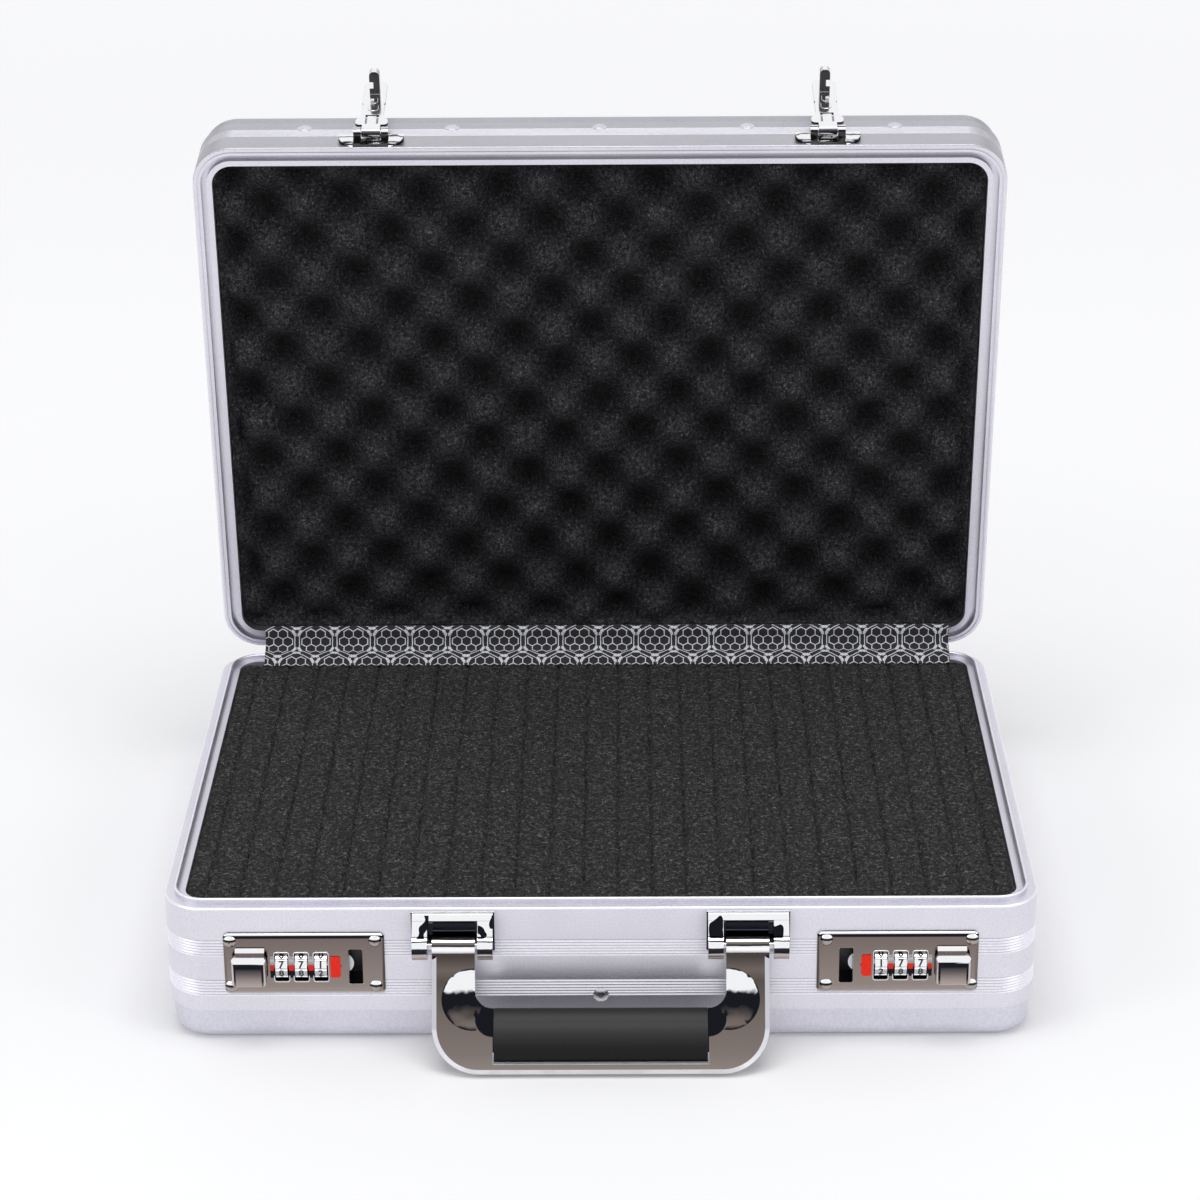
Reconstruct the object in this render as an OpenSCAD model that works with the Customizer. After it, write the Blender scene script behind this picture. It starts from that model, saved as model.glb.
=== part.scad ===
// Aluminium hard case, 45 by 32 cm, with foam lining, two combination locks and a flip handle.
// Millimetres. The origin is the centre of the base's underside, X right, Y back, Z up.
// The lid is drawn closed in case coordinates and then turned open about the rear hinge.

/* [Case] */
// Outer width, left to right
case_w = 450; // [420:1:480]
// Outer depth, front to back
case_d = 320; // [300:1:340]
// Height of the base, floor to rim
base_h = 78; // [74:0.5:90]
// Height of the lid, rim to top
lid_h = 53; // [48:0.5:64]
// Outer corner radius in plan
corner_r = 22; // [18:0.5:28]
// Radius of the fillet along the bottom of the base and the top of the lid
pan_fillet = 8; // [6:0.5:10]

/* [Pose] */
// Angle of the lid from closed
lid_open = 82.5; // [0:0.5:95]
// Angle of the handle forward of hanging
handle_lean = 27; // [27:0.5:95]
// Angle of the hasps from latched
hasp_flip = 175; // [0:1:175]

/* [Frame profile] */
// Wall thickness of the extruded frames
band_t = 1.8; // [1.6:0.1:2.2]
// Height of the base frame's outer wall
base_band_h = 59.4; // [56:0.1:62]
// Height of the lid frame's outer wall
lid_band_h = 34.3; // [32:0.1:38]
// Width of the rim of each frame
rim_w = 10.7; // [10:0.1:12]
// Gap between the two rims when closed
rim_gap = 0.5; // [0.3:0.1:0.8]
// Width of the base rim's tongue
tongue_w = 1.8; // [1.4:0.1:2]
// Height of the base rim's tongue
tongue_h = 3; // [2:0.1:3.2]
// Width of one rib and its groove
rib_pitch = 1.65; // [1.5:0.05:1.7]
// Grooves in each band of ribs
rib_count = 6; // [4:1:6]
// Depth of the grooves between the ribs
rib_depth = 0.55; // [0.3:0.05:0.8]

/* [Hinge] */
// Distance of the hinge pin behind the rear wall
hinge_out = 3.6; // [3.4:0.1:4]
// Length of the piano hinge
hinge_len = 360; // [300:15:375]
// Knuckles of both leaves together
hinge_knuckles = 15; // [9:2:15]

/* [Locks] */
// Width of a lock plate
lock_w = 82.7; // [82:0.1:84]
// Height of a lock plate
lock_h = 34.7; // [34:0.1:36]
// Thickness of a lock plate
lock_t = 2; // [1.8:0.1:2]
// Distance of the hasps and their slots from the middle of the case
hasp_x = 125.8; // [124:0.1:128]
// Outer radius of a number dial
dial_r = 8.4; // [8:0.1:8.4]
// Width of a number dial
dial_w = 6.2; // [5.6:0.1:6.4]
// Spacing of the dials
dial_pitch = 10.1; // [10:0.05:10.2]
// Travel of the release button
button_travel = 4; // [3:0.5:4]

/* [Handle] */
// Overall width of the handle
handle_w = 172; // [168:1:174]
// Width of each handle leg
leg_w = 22; // [20:0.5:22]
// Reach of the handle from its pins to its outer edge
handle_reach = 65; // [63:0.5:66]
// Length of the black grip
grip_len = 110; // [104:1:112]
// Spacing of the two handle brackets
bracket_span = 151; // [148:1:152]

/* [Foam] */
// Side of the square foam cubes of the base block
pluck = 17.7; // [15:0.1:20]
// Spacing of the wavy foam's hollows across the lid
crate_w = 43.6; // [40:0.2:46]
// Spacing of the wavy foam's hollows up the lid, with another row halfway
crate_h = 45.8; // [42:0.2:48]
// Height from hollow to hump of the wavy foam
crate_depth = 14; // [8:0.5:18]

/* [Hidden] */
// Heights of the two rim planes and the hinge axis
rim_z = base_h - rim_gap/2;
axis_y = case_d/2 + hinge_out;
front_y = -case_d/2;

// Rims: offsets are measured inwards from the outer face of the wall
tongue_in = 6.9;
lip_t = 3;
lid_lip_t = 5;
lip_drop = 9;
lip_edge = 1.5;
groove_side = 0.7;
groove_deep = tongue_h + 0.8;
edge_r = 1.2;
rib_top_upper = 18.1;
rib_top_lower = 41.2;
rib_top_lid = 16.1;

// Pans: the sheet tray of the base and the sheet panel of the lid
pan_t = 1.2;
pan_lap = 12.4;
rivet_z = 51;
rivet_z_lid = 28;
rivet_r = 1.6;
rivet_head_r = 3.95;
rivet_head_t = 1.2;
rivet_clear = 0.04;
rivet_x = [-164, -82, 0, 82, 164];
rivet_y = [-100, 0, 100];

// Hinge
pin_r = 1.25;
knuckle_r = 2.9;
fit_gap = 0.05;
pin_ease = 0.02;
knuckle_gap = 0.5;
leaf_t = 1.1;
leaf_start = 3.4;
leaf_h = 14;

// Locks: measured on the left lock, from the middle of the case outwards
lock_x = 152.2;
lock_z = base_h - 31.4;
window_z = base_h - 33;
housing_x = [117.5, 188];
housing_z = [base_h - 45.4, base_h - 22.2];
housing_wall = 1;
housing_deep = 14.5;
slot_w = 7.2;
slot_h = 20;
dial_first = hasp_x + 17.8;
dial_y = front_y - lock_t + 5.15;
dial_window = 16.2;
bridge_rise = 1.1;
plate_edge_r = 1.7;
window_w = 7.1;
shaft_r = 2;
dial_hub_r = 2.8;
web_t = 1.2;
button_x = 180.3;
button_w = 18;
button_h = 16.5;
cap_r = 2.6;
stem_x = 178.5;
stem_w = 8;
stem_h = 11;
bar_z = [base_h - 44, base_h - 41.9];
bar_y = front_y + 1.8;
bar_t = 2.5;
screw_x = [115.6, 190];
screw_r = 1.2;
screw_head_r = 3.3;
nose_w = 9.5;
nose_y = front_y + 3;
nose_t = 2;
nose_reach = 2.4;
spring_r = 2;
spring_wire = 0.3;
spring_turns = 8;
spring_y = front_y + 8.8;
spring_steps = 8;
flange_x = 172;

// Hasps, in the closed case's coordinates
hasp_z = base_h + 10;
hasp_pin_y = front_y - 5;
hasp_pin_r = 1.2;
barrel_r = 2.6;
barrel_w = 10.2;
ear_r = 3;
ear_in = 5.6;
ear_out = 9.6;
lever_t = 1.6;
lever_in = hasp_pin_y + barrel_r;
lever_len = 56;
tongue_at = hasp_z - window_z;
hook_w = 5.7;
hook_h = 5.4;
hook_len = 13.8;
hook_notch = 2.2;
wing_r = 8.2;
wing_rise = 3;

// Handle
pivot_y = front_y - 7;
pivot_z = base_h - 18.5;
handle_pin_r = 2;
handle_knuckle_r = 4.8;
handle_t = 6.5;
lug_w = 7.8;
lug_span = 41.2;
lug_r = 7;
grip_u = [31.5, 58.7];
core_t = 3.6;
core_u = [35, 54];
outer_corner_r = 24;
edge_bevel = 2.4;
scoop_r = 15.8;
scoop_deep = 2;

// Foam and lining
foam_gap = 0.5;
foam_top = base_h - 2.2;
pad_t = 8;
cut_w = 0.6;
cut_deep = 2.5;
lid_foam_peak = 3;
foam_turn = -4.3;
crate_origin = [-4.9, -44.2];
lining_x = [-201, 205];
lining_t = 0.8;
// Lining's route in the plane across the hinge: distance back, height above the base rim
lining_route = [[146.2, -1.5], [149.6, 0.5], [152.4, 3], [155.4, 3.8], [158.4, 5], [160.4, 7.4], [161.1, 10.4],
    [160.8, 13.6], [161.6, 15.4], [163.4, 16.2]];

// Rounded rectangle with true arcs at its corners
module rounded(w, h, r) {
    square([w - 2*r, h], center = true);
    square([w, h - 2*r], center = true);
    for (sx = [-1, 1], sy = [-1, 1])
        translate([sx*(w/2 - r), sy*(h/2 - r)]) circle(r = r, $fn = 48);
}

// Carries a profile round a rounded rectangle. The profile's x runs outwards from the corner's centre.
module ring(w, d, r) {
    for (i = [0:3]) {
        across = i % 2 == 0 ? w : d;
        along = i % 2 == 0 ? d : w;
        rotate(90*i) translate([across/2 - r, along/2 - r, 0]) {
            rotate([90, 0, 0]) linear_extrude(along - 2*r) children();
            rotate_extrude(angle = 90, $fn = 96) children();
        }
    }
}

// Band of V grooves that leaves fine ribs on the outer face, from z upwards
module rib_grooves(z) {
    for (i = [0:rib_count - 1])
        translate([corner_r, z + i*rib_pitch])
            polygon([[0.1, 0], [0, 0], [-rib_depth, rib_pitch/2], [0, rib_pitch - 0.3], [0.1, rib_pitch - 0.3]]);
}

// Quarter round left on an outer edge by this cutter
module edge_cutter() {
    difference() {
        translate([-edge_r, -edge_r]) square(edge_r + 0.1);
        translate([-edge_r, -edge_r]) circle(r = edge_r, $fn = 32);
    }
}

module base_band_profile() {
    difference() {
        union() {
            translate([corner_r - band_t, -base_band_h]) square([band_t, base_band_h]);
            translate([corner_r - rim_w, -lip_t]) square([rim_w, lip_t]);
            translate([corner_r - rim_w, -lip_drop]) square([lip_edge, lip_drop]);
            translate([corner_r - tongue_in, -1]) square([tongue_w, tongue_h + 1 - tongue_w/2]);
            translate([corner_r - tongue_in + tongue_w/2, tongue_h - tongue_w/2]) circle(d = tongue_w, $fn = 24);
        }
        rib_grooves(-rib_top_upper - rib_count*rib_pitch);
        rib_grooves(-rib_top_lower - rib_count*rib_pitch);
        translate([corner_r, 0]) edge_cutter();
    }
}

module lid_band_profile() {
    groove_in = tongue_in + groove_side;
    difference() {
        union() {
            translate([corner_r - band_t, 0]) square([band_t, lid_band_h]);
            translate([corner_r - rim_w, 0]) square([rim_w, lid_lip_t]);
            translate([corner_r - rim_w, 0]) square([lip_edge, lip_drop]);
        }
        translate([corner_r - groove_in, -1]) square([tongue_w + 2*groove_side, groove_deep + 1]);
        translate([corner_r - 2.9, -1]) square([0.6, 1.5]);
        rib_grooves(rib_top_lid);
        translate([corner_r, 0]) mirror([0, 1]) edge_cutter();
    }
}

// Section of a pan's wall, fillet and the start of its floor, with the floor's face at z = 0
module pan_profile(r, h, t) {
    difference() {
        union() {
            translate([r - t, pan_fillet]) square([t, h - pan_fillet]);
            translate([r - pan_fillet, pan_fillet]) intersection() {
                circle(r = pan_fillet, $fn = 64);
                translate([0, -pan_fillet]) square(pan_fillet);
            }
        }
        translate([r - pan_fillet, pan_fillet]) circle(r = pan_fillet - t, $fn = 64);
        translate([r - pan_fillet - 1, pan_fillet]) square([pan_fillet + 1 - t, h]);
    }
}

module pan(h) {
    r = corner_r - band_t;
    w = case_w - 2*band_t;
    d = case_d - 2*band_t;
    ring(w, d, r) pan_profile(r, h, pan_t);
    linear_extrude(pan_t) rounded(w - 2*pan_fillet, d - 2*pan_fillet, r - pan_fillet);
}

// Places a fastener along Z, pointing out, at each rivet of the four walls
module at_rivets(z, front_list) {
    for (x = front_list) translate([x, front_y, z]) rotate([90, 0, 0]) children();
    for (x = rivet_x) translate([x, -front_y, z]) rotate([-90, 0, 0]) children();
    for (y = rivet_y, s = [-1, 1]) translate([s*case_w/2, y, z]) rotate([0, 90*s, 0]) children();
}

module rivet_hole() {
    translate([0, 0, -6]) cylinder(r = rivet_r + rivet_clear, h = 8, $fn = 32);
}

// Domed rivet head with its shank and inner collar
module rivet() {
    sphere_r = (rivet_head_r*rivet_head_r + rivet_head_t*rivet_head_t)/(2*rivet_head_t);
    intersection() {
        cylinder(r = rivet_head_r, h = rivet_head_t, $fn = 32);
        translate([0, 0, rivet_head_t - sphere_r]) sphere(r = sphere_r, $fn = 64);
    }
    translate([0, 0, -band_t - pan_t - 1]) cylinder(r = rivet_r, h = band_t + pan_t + 1.2, $fn = 32);
    translate([0, 0, -band_t - pan_t - 1]) cylinder(r = 2.6, h = 1, $fn = 32);
}

// Turns a piece of the lid or the hinge from closed to the chosen angle
module opened(angle = lid_open) {
    translate([0, axis_y, base_h]) rotate([-angle, 0, 0]) translate([0, -axis_y, -base_h]) children();
}

module on_right() {
    mirror([1, 0, 0]) children();
}

// Base

module lock_cutouts() {
    for (s = [0, 1]) mirror([s, 0, 0]) {
        translate([-housing_x[1], front_y - 1, housing_z[0]])
            cube([housing_x[1] - housing_x[0], band_t + 2, housing_z[1] - housing_z[0]]);
        at_lock_screws() translate([0, 0, -8]) cylinder(r = screw_r + fit_gap, h = 12, $fn = 32);
    }
}

module base_frame() {
    color("lightsteelblue") difference() {
        translate([0, 0, rim_z]) ring(case_w, case_d, corner_r) base_band_profile();
        lock_cutouts();
        at_rivets(base_h - rivet_z, [-82, 0, 82]) rivet_hole();
    }
}

module base_tray() {
    color("silver") difference() {
        pan(base_h - base_band_h + pan_lap);
        at_rivets(base_h - rivet_z, [-82, 0, 82]) rivet_hole();
    }
}

module base_rivets() {
    color("gainsboro") at_rivets(base_h - rivet_z, [-82, 0, 82]) rivet();
}

module foam_outline(gap) {
    rounded(case_w - 2*rim_w - 2*gap, case_d - 2*rim_w - 2*gap, corner_r - rim_w - gap);
}

module base_foam() {
    w = case_w - 2*rim_w;
    d = case_d - 2*rim_w;
    columns = floor(w/pluck/2);
    bottom = pan_t + pad_t + 0.2;
    color([0.13, 0.13, 0.14]) difference() {
        translate([0, 0, bottom]) linear_extrude(foam_top - bottom) foam_outline(foam_gap);
        for (i = [-columns:columns])
            translate([(i + 0.5)*pluck - cut_w/2, -d/2, foam_top - cut_deep]) cube([cut_w, d, cut_deep + 1]);
        for (s = [-1, 1])
            translate([s*(housing_x[0] + housing_x[1])/2, front_y + housing_deep/2 + 1, (housing_z[0] + housing_z[1])/2])
                cube([housing_x[1] - housing_x[0] + 4, housing_deep + 3, housing_z[1] - housing_z[0] + 4], center = true);
    }
}

module base_foam_pad() {
    color([0.16, 0.16, 0.17]) translate([0, 0, pan_t + 0.1]) linear_extrude(pad_t)
        rounded(case_w - 2*rim_w - 4, case_d - 2*rim_w - 4, corner_r - rim_w - 2);
}

// Round rubber foot with a shallow dish, standing along Z
module foot() {
    difference() {
        union() {
            cylinder(r = 9, h = 6.5, $fn = 48);
            cylinder(r = 7.8, h = 8, $fn = 48);
        }
        translate([0, 0, 6.8]) cylinder(r = 4, h = 2, $fn = 32);
    }
}

module base_feet() {
    color([0.1, 0.1, 0.1]) for (s = [-1, 1])
        translate([s*199, -front_y, base_h - 35]) rotate([-90, 0, 0]) foot();
}

// Hinge

// Knuckles of one leaf: first is 0 for the base's and 1 for the lid's
module hinge_leaf(first) {
    pitch = hinge_len/hinge_knuckles;
    side = first == 0 ? -1 : 1;
    difference() {
        union() {
            translate([-hinge_len/2, case_d/2, first == 0 ? base_h - leaf_h : base_h + leaf_start])
                cube([hinge_len, leaf_t, leaf_h - leaf_start]);
            for (i = [first:2:hinge_knuckles - 1]) {
                x = -hinge_len/2 + i*pitch + knuckle_gap/2;
                translate([x, axis_y, base_h]) rotate([0, 90, 0])
                    cylinder(r = knuckle_r, h = pitch - knuckle_gap, $fn = 48);
                translate([x, case_d/2, first == 0 ? base_h - leaf_start - 0.5 : base_h])
                    cube([pitch - knuckle_gap, leaf_t, leaf_start + 0.5]);
                translate([x, case_d/2 + leaf_t/2, base_h + (first == 0 ? -leaf_start : 0)])
                    cube([pitch - knuckle_gap, 1.4, leaf_start]);
            }
        }
        translate([-hinge_len/2 - 1, axis_y, base_h]) rotate([0, 90, 0])
            cylinder(r = pin_r + fit_gap, h = hinge_len + 2, $fn = 32);
        for (i = [0:hinge_knuckles - 1])
            translate([-hinge_len/2 + (i + 0.5)*pitch, case_d/2 - 1, base_h + side*(leaf_h + leaf_start)/2])
                rotate([-90, 0, 0]) cylinder(r = 1.5, h = leaf_t + 2, $fn = 24);
    }
}

module hinge_leaf_base() {
    color("silver") hinge_leaf(0);
}

module hinge_leaf_lid() {
    color("silver") opened() hinge_leaf(1);
}

module hinge_pin() {
    color("gray") translate([-hinge_len/2, axis_y, base_h]) rotate([0, 90, 0])
        cylinder(r = pin_r, h = hinge_len, $fn = 32);
}

// Handle brackets and pins

module handle_bracket() {
    difference() {
        union() {
            translate([-lug_span/2 - 0.7, front_y - 1.6, base_h - 24]) cube([lug_span + 1.4, 1.6, 22.2]);
            // Sloping top bar between the lugs
            translate([-lug_span/2, 0, 0]) rotate([90, 0, 90]) linear_extrude(lug_span)
                polygon([[front_y, base_h - 7.6], [front_y, base_h - 1.8], [front_y - 3, base_h - 2.4],
                    [front_y - 5.1, base_h - 5], [front_y - 4.2, base_h - 6.6], [front_y - 1.6, base_h - 7.6]]);
            // Lugs: a sloping plate that ends in a crease on the round knuckle
            for (s = [-1, 1]) translate([s*(lug_span - lug_w)/2 - lug_w/2, 0, 0]) rotate([90, 0, 90])
                linear_extrude(lug_w) {
                    translate([pivot_y, pivot_z]) circle(r = lug_r, $fn = 64);
                    polygon([[front_y, base_h - 1.8], [front_y - 3, base_h - 2.4], [front_y - 9.9, base_h - 11.5],
                        [pivot_y, pivot_z], [front_y, base_h - 24]]);
                }
        }
        translate([-lug_span/2 - 2, pivot_y, pivot_z]) rotate([0, 90, 0])
            cylinder(r = handle_pin_r + pin_ease, h = lug_span + 4, $fn = 48);
    }
}

module handle_bracket_left() {
    color("gainsboro") translate([-bracket_span/2, 0, 0]) handle_bracket();
}

module handle_bracket_right() {
    color("gainsboro") translate([bracket_span/2, 0, 0]) handle_bracket();
}

module handle_pin() {
    translate([-lug_span/2, pivot_y, pivot_z]) rotate([0, 90, 0]) cylinder(r = handle_pin_r, h = lug_span, $fn = 48);
}

module handle_pin_left() {
    color("dimgray") translate([-bracket_span/2, 0, 0]) handle_pin();
}

module handle_pin_right() {
    color("dimgray") translate([bracket_span/2, 0, 0]) handle_pin();
}

// Locks: every left piece is drawn at negative x, and the right one is its mirror image

module at_lock_screws() {
    for (x = screw_x, sz = [-1, 1])
        translate([-x, front_y - lock_t, lock_z + sz*(lock_h/2 - 4.3)]) rotate([90, 0, 0]) children();
}

module lock_plate() {
    corner = 2.4;
    bridge_half = dial_window/2 - 1.6;
    bridge_r = (bridge_half*bridge_half + bridge_rise*bridge_rise)/(2*bridge_rise);
    difference() {
        union() {
            // Plate with a rounded edge all round
            translate([-lock_x, front_y, lock_z]) rotate([90, 0, 0]) {
                ring(lock_w, lock_h, corner) {
                    square([corner, lock_t - plate_edge_r]);
                    square([corner - plate_edge_r, lock_t]);
                    intersection() {
                        translate([corner - plate_edge_r, lock_t - plate_edge_r]) circle(r = plate_edge_r, $fn = 48);
                        square([corner, lock_t]);
                    }
                }
                linear_extrude(lock_t) square([lock_w - 2*corner, lock_h - 2*corner], center = true);
            }
            // Bulged bridges between the windows
            translate([-dial_first - 2*dial_pitch - window_w/2 - 2.4, front_y - lock_t - bridge_rise + bridge_r, window_z])
                intersection() {
                    rotate([0, 90, 0]) cylinder(r = bridge_r, h = 2*dial_pitch + window_w, $fn = 128);
                    translate([0, -bridge_r, -bridge_half]) cube([2*dial_pitch + window_w, bridge_rise + 0.4, 2*bridge_half]);
                }
        }
            // Three dial windows, the tongue slot, the button's slot, screw holes and a seat for the red line
        for (i = [0:2]) translate([-dial_first - i*dial_pitch, front_y, window_z])
            cube([window_w, 8, dial_window], center = true);
        translate([-hasp_x, front_y, window_z]) cube([slot_w, 8, slot_h], center = true);
        translate([-stem_x - button_travel/2, front_y, window_z])
            cube([stem_w + button_travel + 0.8, 8, stem_h + 0.8], center = true);
        at_lock_screws() translate([0, 0, -8]) cylinder(r = screw_r + fit_gap, h = 12, $fn = 32);
        indicator();
    }
}

module lock_housing() {
    w = housing_x[1] - housing_x[0];
    h = housing_z[1] - housing_z[0];
    difference() {
        translate([-housing_x[1], front_y, housing_z[0]]) cube([w, housing_deep, h]);
        translate([-housing_x[1] + housing_wall, front_y - 1, housing_z[0] + housing_wall])
            cube([w - 2*housing_wall, housing_deep + 1 - housing_wall, h - 2*housing_wall]);
    }
    // Webs that carry the dials' shaft, cut away below for the slider's bar
    difference() {
        for (x = [-dial_first + dial_pitch/2 + 0.2, -dial_first - 2.5*dial_pitch - 0.2 - web_t])
            translate([x, front_y + 0.2, window_z - dial_r + 0.3])
                cube([web_t, housing_deep - 0.5, housing_z[1] - 0.5 - window_z + dial_r - 0.3]);
        translate([-housing_x[1], dial_y, window_z]) rotate([0, 90, 0])
            cylinder(r = shaft_r + fit_gap, h = w, $fn = 32);
    }
}

module lock_screws() {
    head_r = screw_head_r;
    head_t = 1.5;
    sphere_r = (head_r*head_r + head_t*head_t)/(2*head_t);
    at_lock_screws() {
        intersection() {
            cylinder(r = head_r, h = head_t, $fn = 32);
            translate([0, 0, head_t - sphere_r]) sphere(r = sphere_r, $fn = 48);
        }
        translate([0, 0, -lock_t - band_t - 1.5]) cylinder(r = screw_r, h = lock_t + band_t + 1.7, $fn = 32);
    }
}

module dial_shaft() {
    translate([-dial_first - 2.5*dial_pitch - 0.2 - web_t, dial_y, window_z]) rotate([0, 90, 0])
        cylinder(r = shaft_r, h = 3*dial_pitch + 0.4 + 2*web_t, $fn = 32);
}

// Red line across the bridges and the red tab that points at the slot
module indicator() {
    line_h = 3;
    line_y = front_y - lock_t - bridge_rise - 0.15;
    segment = dial_pitch - window_w - 0.4;
    for (i = [0:1]) translate([-dial_first - (i + 0.5)*dial_pitch, line_y + 0.3, window_z])
        cube([segment, 0.9, line_h], center = true);
    translate([-dial_first - 2*dial_pitch - window_w/2 - 1.3, line_y + 0.3, window_z]) cube([1.8, 0.9, line_h], center = true);
    translate([-dial_first + window_w/2 + 1.3, front_y - lock_t + 0.1, window_z]) rotate([90, 0, 0]) linear_extrude(0.8)
        polygon([[0, -6], [4.3, -6], [5.1, -5.2], [5.1, -0.8], [5.8, 0], [5.1, 0.8], [5.1, 5.2], [4.3, 6], [0, 6]]);
}

// Number dial with ten flats, a groove between each pair and a hub that spaces it from the next
module dial(index) {
    translate([-dial_first - (index - 1)*dial_pitch, dial_y, window_z]) rotate([0, 90, 0]) difference() {
        union() {
            translate([0, 0, -dial_w/2]) linear_extrude(dial_w) difference() {
                rotate(18) circle(r = dial_r, $fn = 10);
                for (i = [0:9]) rotate(36*i + 18) translate([dial_r, 0]) circle(r = 0.7, $fn = 16);
            }
            translate([0, 0, -dial_pitch/2 + 0.2]) cylinder(r = dial_hub_r, h = dial_pitch - 0.4, $fn = 48);
        }
        translate([0, 0, -dial_pitch]) cylinder(r = shaft_r + fit_gap, h = 2*dial_pitch, $fn = 32);
    }
}

// Square push button: a bevelled collar on the plate and a wider cap with a sloping top and rounded corners
module lock_button() {
    z0 = window_z - button_h/2;
    face = front_y - lock_t;
    translate([-button_x - button_w/2 + 2, 0, 0]) rotate([90, 0, 90]) linear_extrude(button_w - 3)
        polygon([[face - 0.3, z0 + 1.2], [face - 0.3, z0 + button_h + 3], [face - 0.8, z0 + button_h + 3],
            [face - 2.6, z0 + button_h + 1.2], [face - 2.6, z0 + 1.2]]);
    intersection() {
        translate([-button_x - button_w/2, 0, 0]) rotate([90, 0, 90]) linear_extrude(button_w)
            polygon([[face - 2.6, z0], [face - 2.6, z0 + button_h], [face - 4.6, z0 + button_h - 0.4],
                [face - 6.4, z0 + button_h - 3], [face - 7, z0 + button_h - 6], [face - 7, z0 + 0.8], [face - 6.4, z0]]);
        translate([-button_x, face, window_z]) rotate([90, 0, 0]) linear_extrude(8) rounded(button_w, button_h, cap_r);
        translate([-button_x, face, z0]) linear_extrude(button_h) rounded(button_w, 14, cap_r);
    }
    translate([-stem_x, face + lock_t/2 - 0.15, window_z]) cube([stem_w, lock_t + 0.3, stem_h], center = true);
}

// Slider behind the plate: block under the button, bar below the dials, catch at the tongue's slot
module lock_slider() {
    catch_x = -hasp_x - slot_w/2;
    stem_low = -stem_x - stem_w/2;
    translate([stem_low, front_y, window_z - stem_h/2]) cube([stem_w, 5.5, stem_h]);
    translate([stem_low, bar_y, bar_z[0]]) cube([stem_w, bar_t, window_z - stem_h/2 - bar_z[0] + 0.5]);
    translate([stem_low, bar_y, bar_z[0]]) cube([catch_x - stem_low, bar_t, bar_z[1] - bar_z[0]]);
    translate([catch_x - 1.8, bar_y, bar_z[0]]) cube([1.8, bar_t, window_z + nose_w/2 - bar_z[0]]);
    // Nose with a rounded end that stands in the slot
    translate([catch_x - 0.2, nose_y - nose_t/2, window_z]) rotate([-90, 0, 0]) linear_extrude(nose_t) intersection() {
        translate([nose_reach - nose_w/2 - 0.8, 0]) circle(r = nose_w/2 + 1, $fn = 48);
        translate([0, -nose_w/2]) square([nose_reach + 0.2, nose_w]);
    }
    // Flange that the return spring pushes on
    translate([-stem_x + stem_w/2 - 0.5, front_y + 2, window_z - 3]) cube([stem_x - flange_x - stem_w/2 + 0.5, 9.4, 6]);
}

// Closed ring of points of a tube's section at t turns along the spring
function spring_ring(t, length) = [for (k = [0:5])
    let (a = 360*t, w = 60*k)
    [t*length/spring_turns, (spring_r + spring_wire*cos(w))*cos(a), (spring_r + spring_wire*cos(w))*sin(a)]
    + [spring_wire*sin(w), 0, 0]];

module return_spring() {
    start = -housing_x[1] + housing_wall + spring_wire + 0.05;
    end = -stem_x + stem_w/2 - 0.5 - spring_wire - 0.05;
    length = end - start;
    rings = spring_turns*spring_steps;
    points = [for (i = [0:rings]) each spring_ring(i/spring_steps, length)];
    sides = [for (i = [0:rings - 1], k = [0:5]) let (a = i*6 + k, b = i*6 + (k + 1) % 6)
        each [[a, b, b + 6], [a, b + 6, a + 6]]];
    caps = [[for (k = [0:5]) 5 - k], [for (k = [0:5]) rings*6 + k]];
    translate([start, spring_y, window_z]) polyhedron(points, concat(sides, caps));
    echo(spring_least_gap = length/spring_turns - 2*spring_wire);
}

module lock_plate_left() { color("dimgray") lock_plate(); }
module lock_plate_right() { color("dimgray") on_right() lock_plate(); }
module lock_housing_left() { color("gray") lock_housing(); }
module lock_housing_right() { color("gray") on_right() lock_housing(); }
module lock_screws_left() { color("gainsboro") lock_screws(); }
module lock_screws_right() { color("gainsboro") on_right() lock_screws(); }
module dial_shaft_left() { color("gray") dial_shaft(); }
module dial_shaft_right() { color("gray") on_right() dial_shaft(); }
module indicator_left() { color("red") indicator(); }
module indicator_right() { color("red") on_right() indicator(); }
module lock_button_left() { color("gainsboro") lock_button(); }
module lock_button_right() { color("gainsboro") on_right() lock_button(); }
module lock_slider_left() { color("silver") lock_slider(); }
module lock_slider_right() { color("silver") on_right() lock_slider(); }
module return_spring_left() { color("slategray") return_spring(); }
module return_spring_right() { color("slategray") on_right() return_spring(); }
module dial_left(index) { color("white") dial(index); }
module dial_right(index) { color("white") on_right() dial(index); }

// Lid

module lid_frame() {
    color("lightsteelblue") opened() difference() {
        translate([0, 0, base_h + rim_gap/2]) ring(case_w, case_d, corner_r) lid_band_profile();
        at_rivets(base_h + rivet_z_lid, rivet_x) rivet_hole();
    }
}

module lid_panel() {
    color("silver") opened() difference() {
        translate([0, 0, base_h + lid_h]) mirror([0, 0, 1]) pan(lid_h - lid_band_h + pan_lap);
        at_rivets(base_h + rivet_z_lid, rivet_x) rivet_hole();
    }
}

module lid_rivets() {
    color("gainsboro") opened() at_rivets(base_h + rivet_z_lid, rivet_x) rivet();
}

module lid_feet() {
    color([0.1, 0.1, 0.1]) opened() for (s = [-1, 1])
        translate([s*199, -front_y, base_h + 27]) rotate([-90, 0, 0]) foot();
}

// Height of the wavy foam's face above its hollows at a point of the lid
function crate(x, y) = let (c = cos(foam_turn), s = sin(foam_turn), p = [x, y] - crate_origin,
    u = p[0]*c + p[1]*s, v = p[1]*c - p[0]*s)
    crate_depth*(0.5 - 0.5*cos(360*u/crate_w)*cos(360*v/crate_h));

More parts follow.
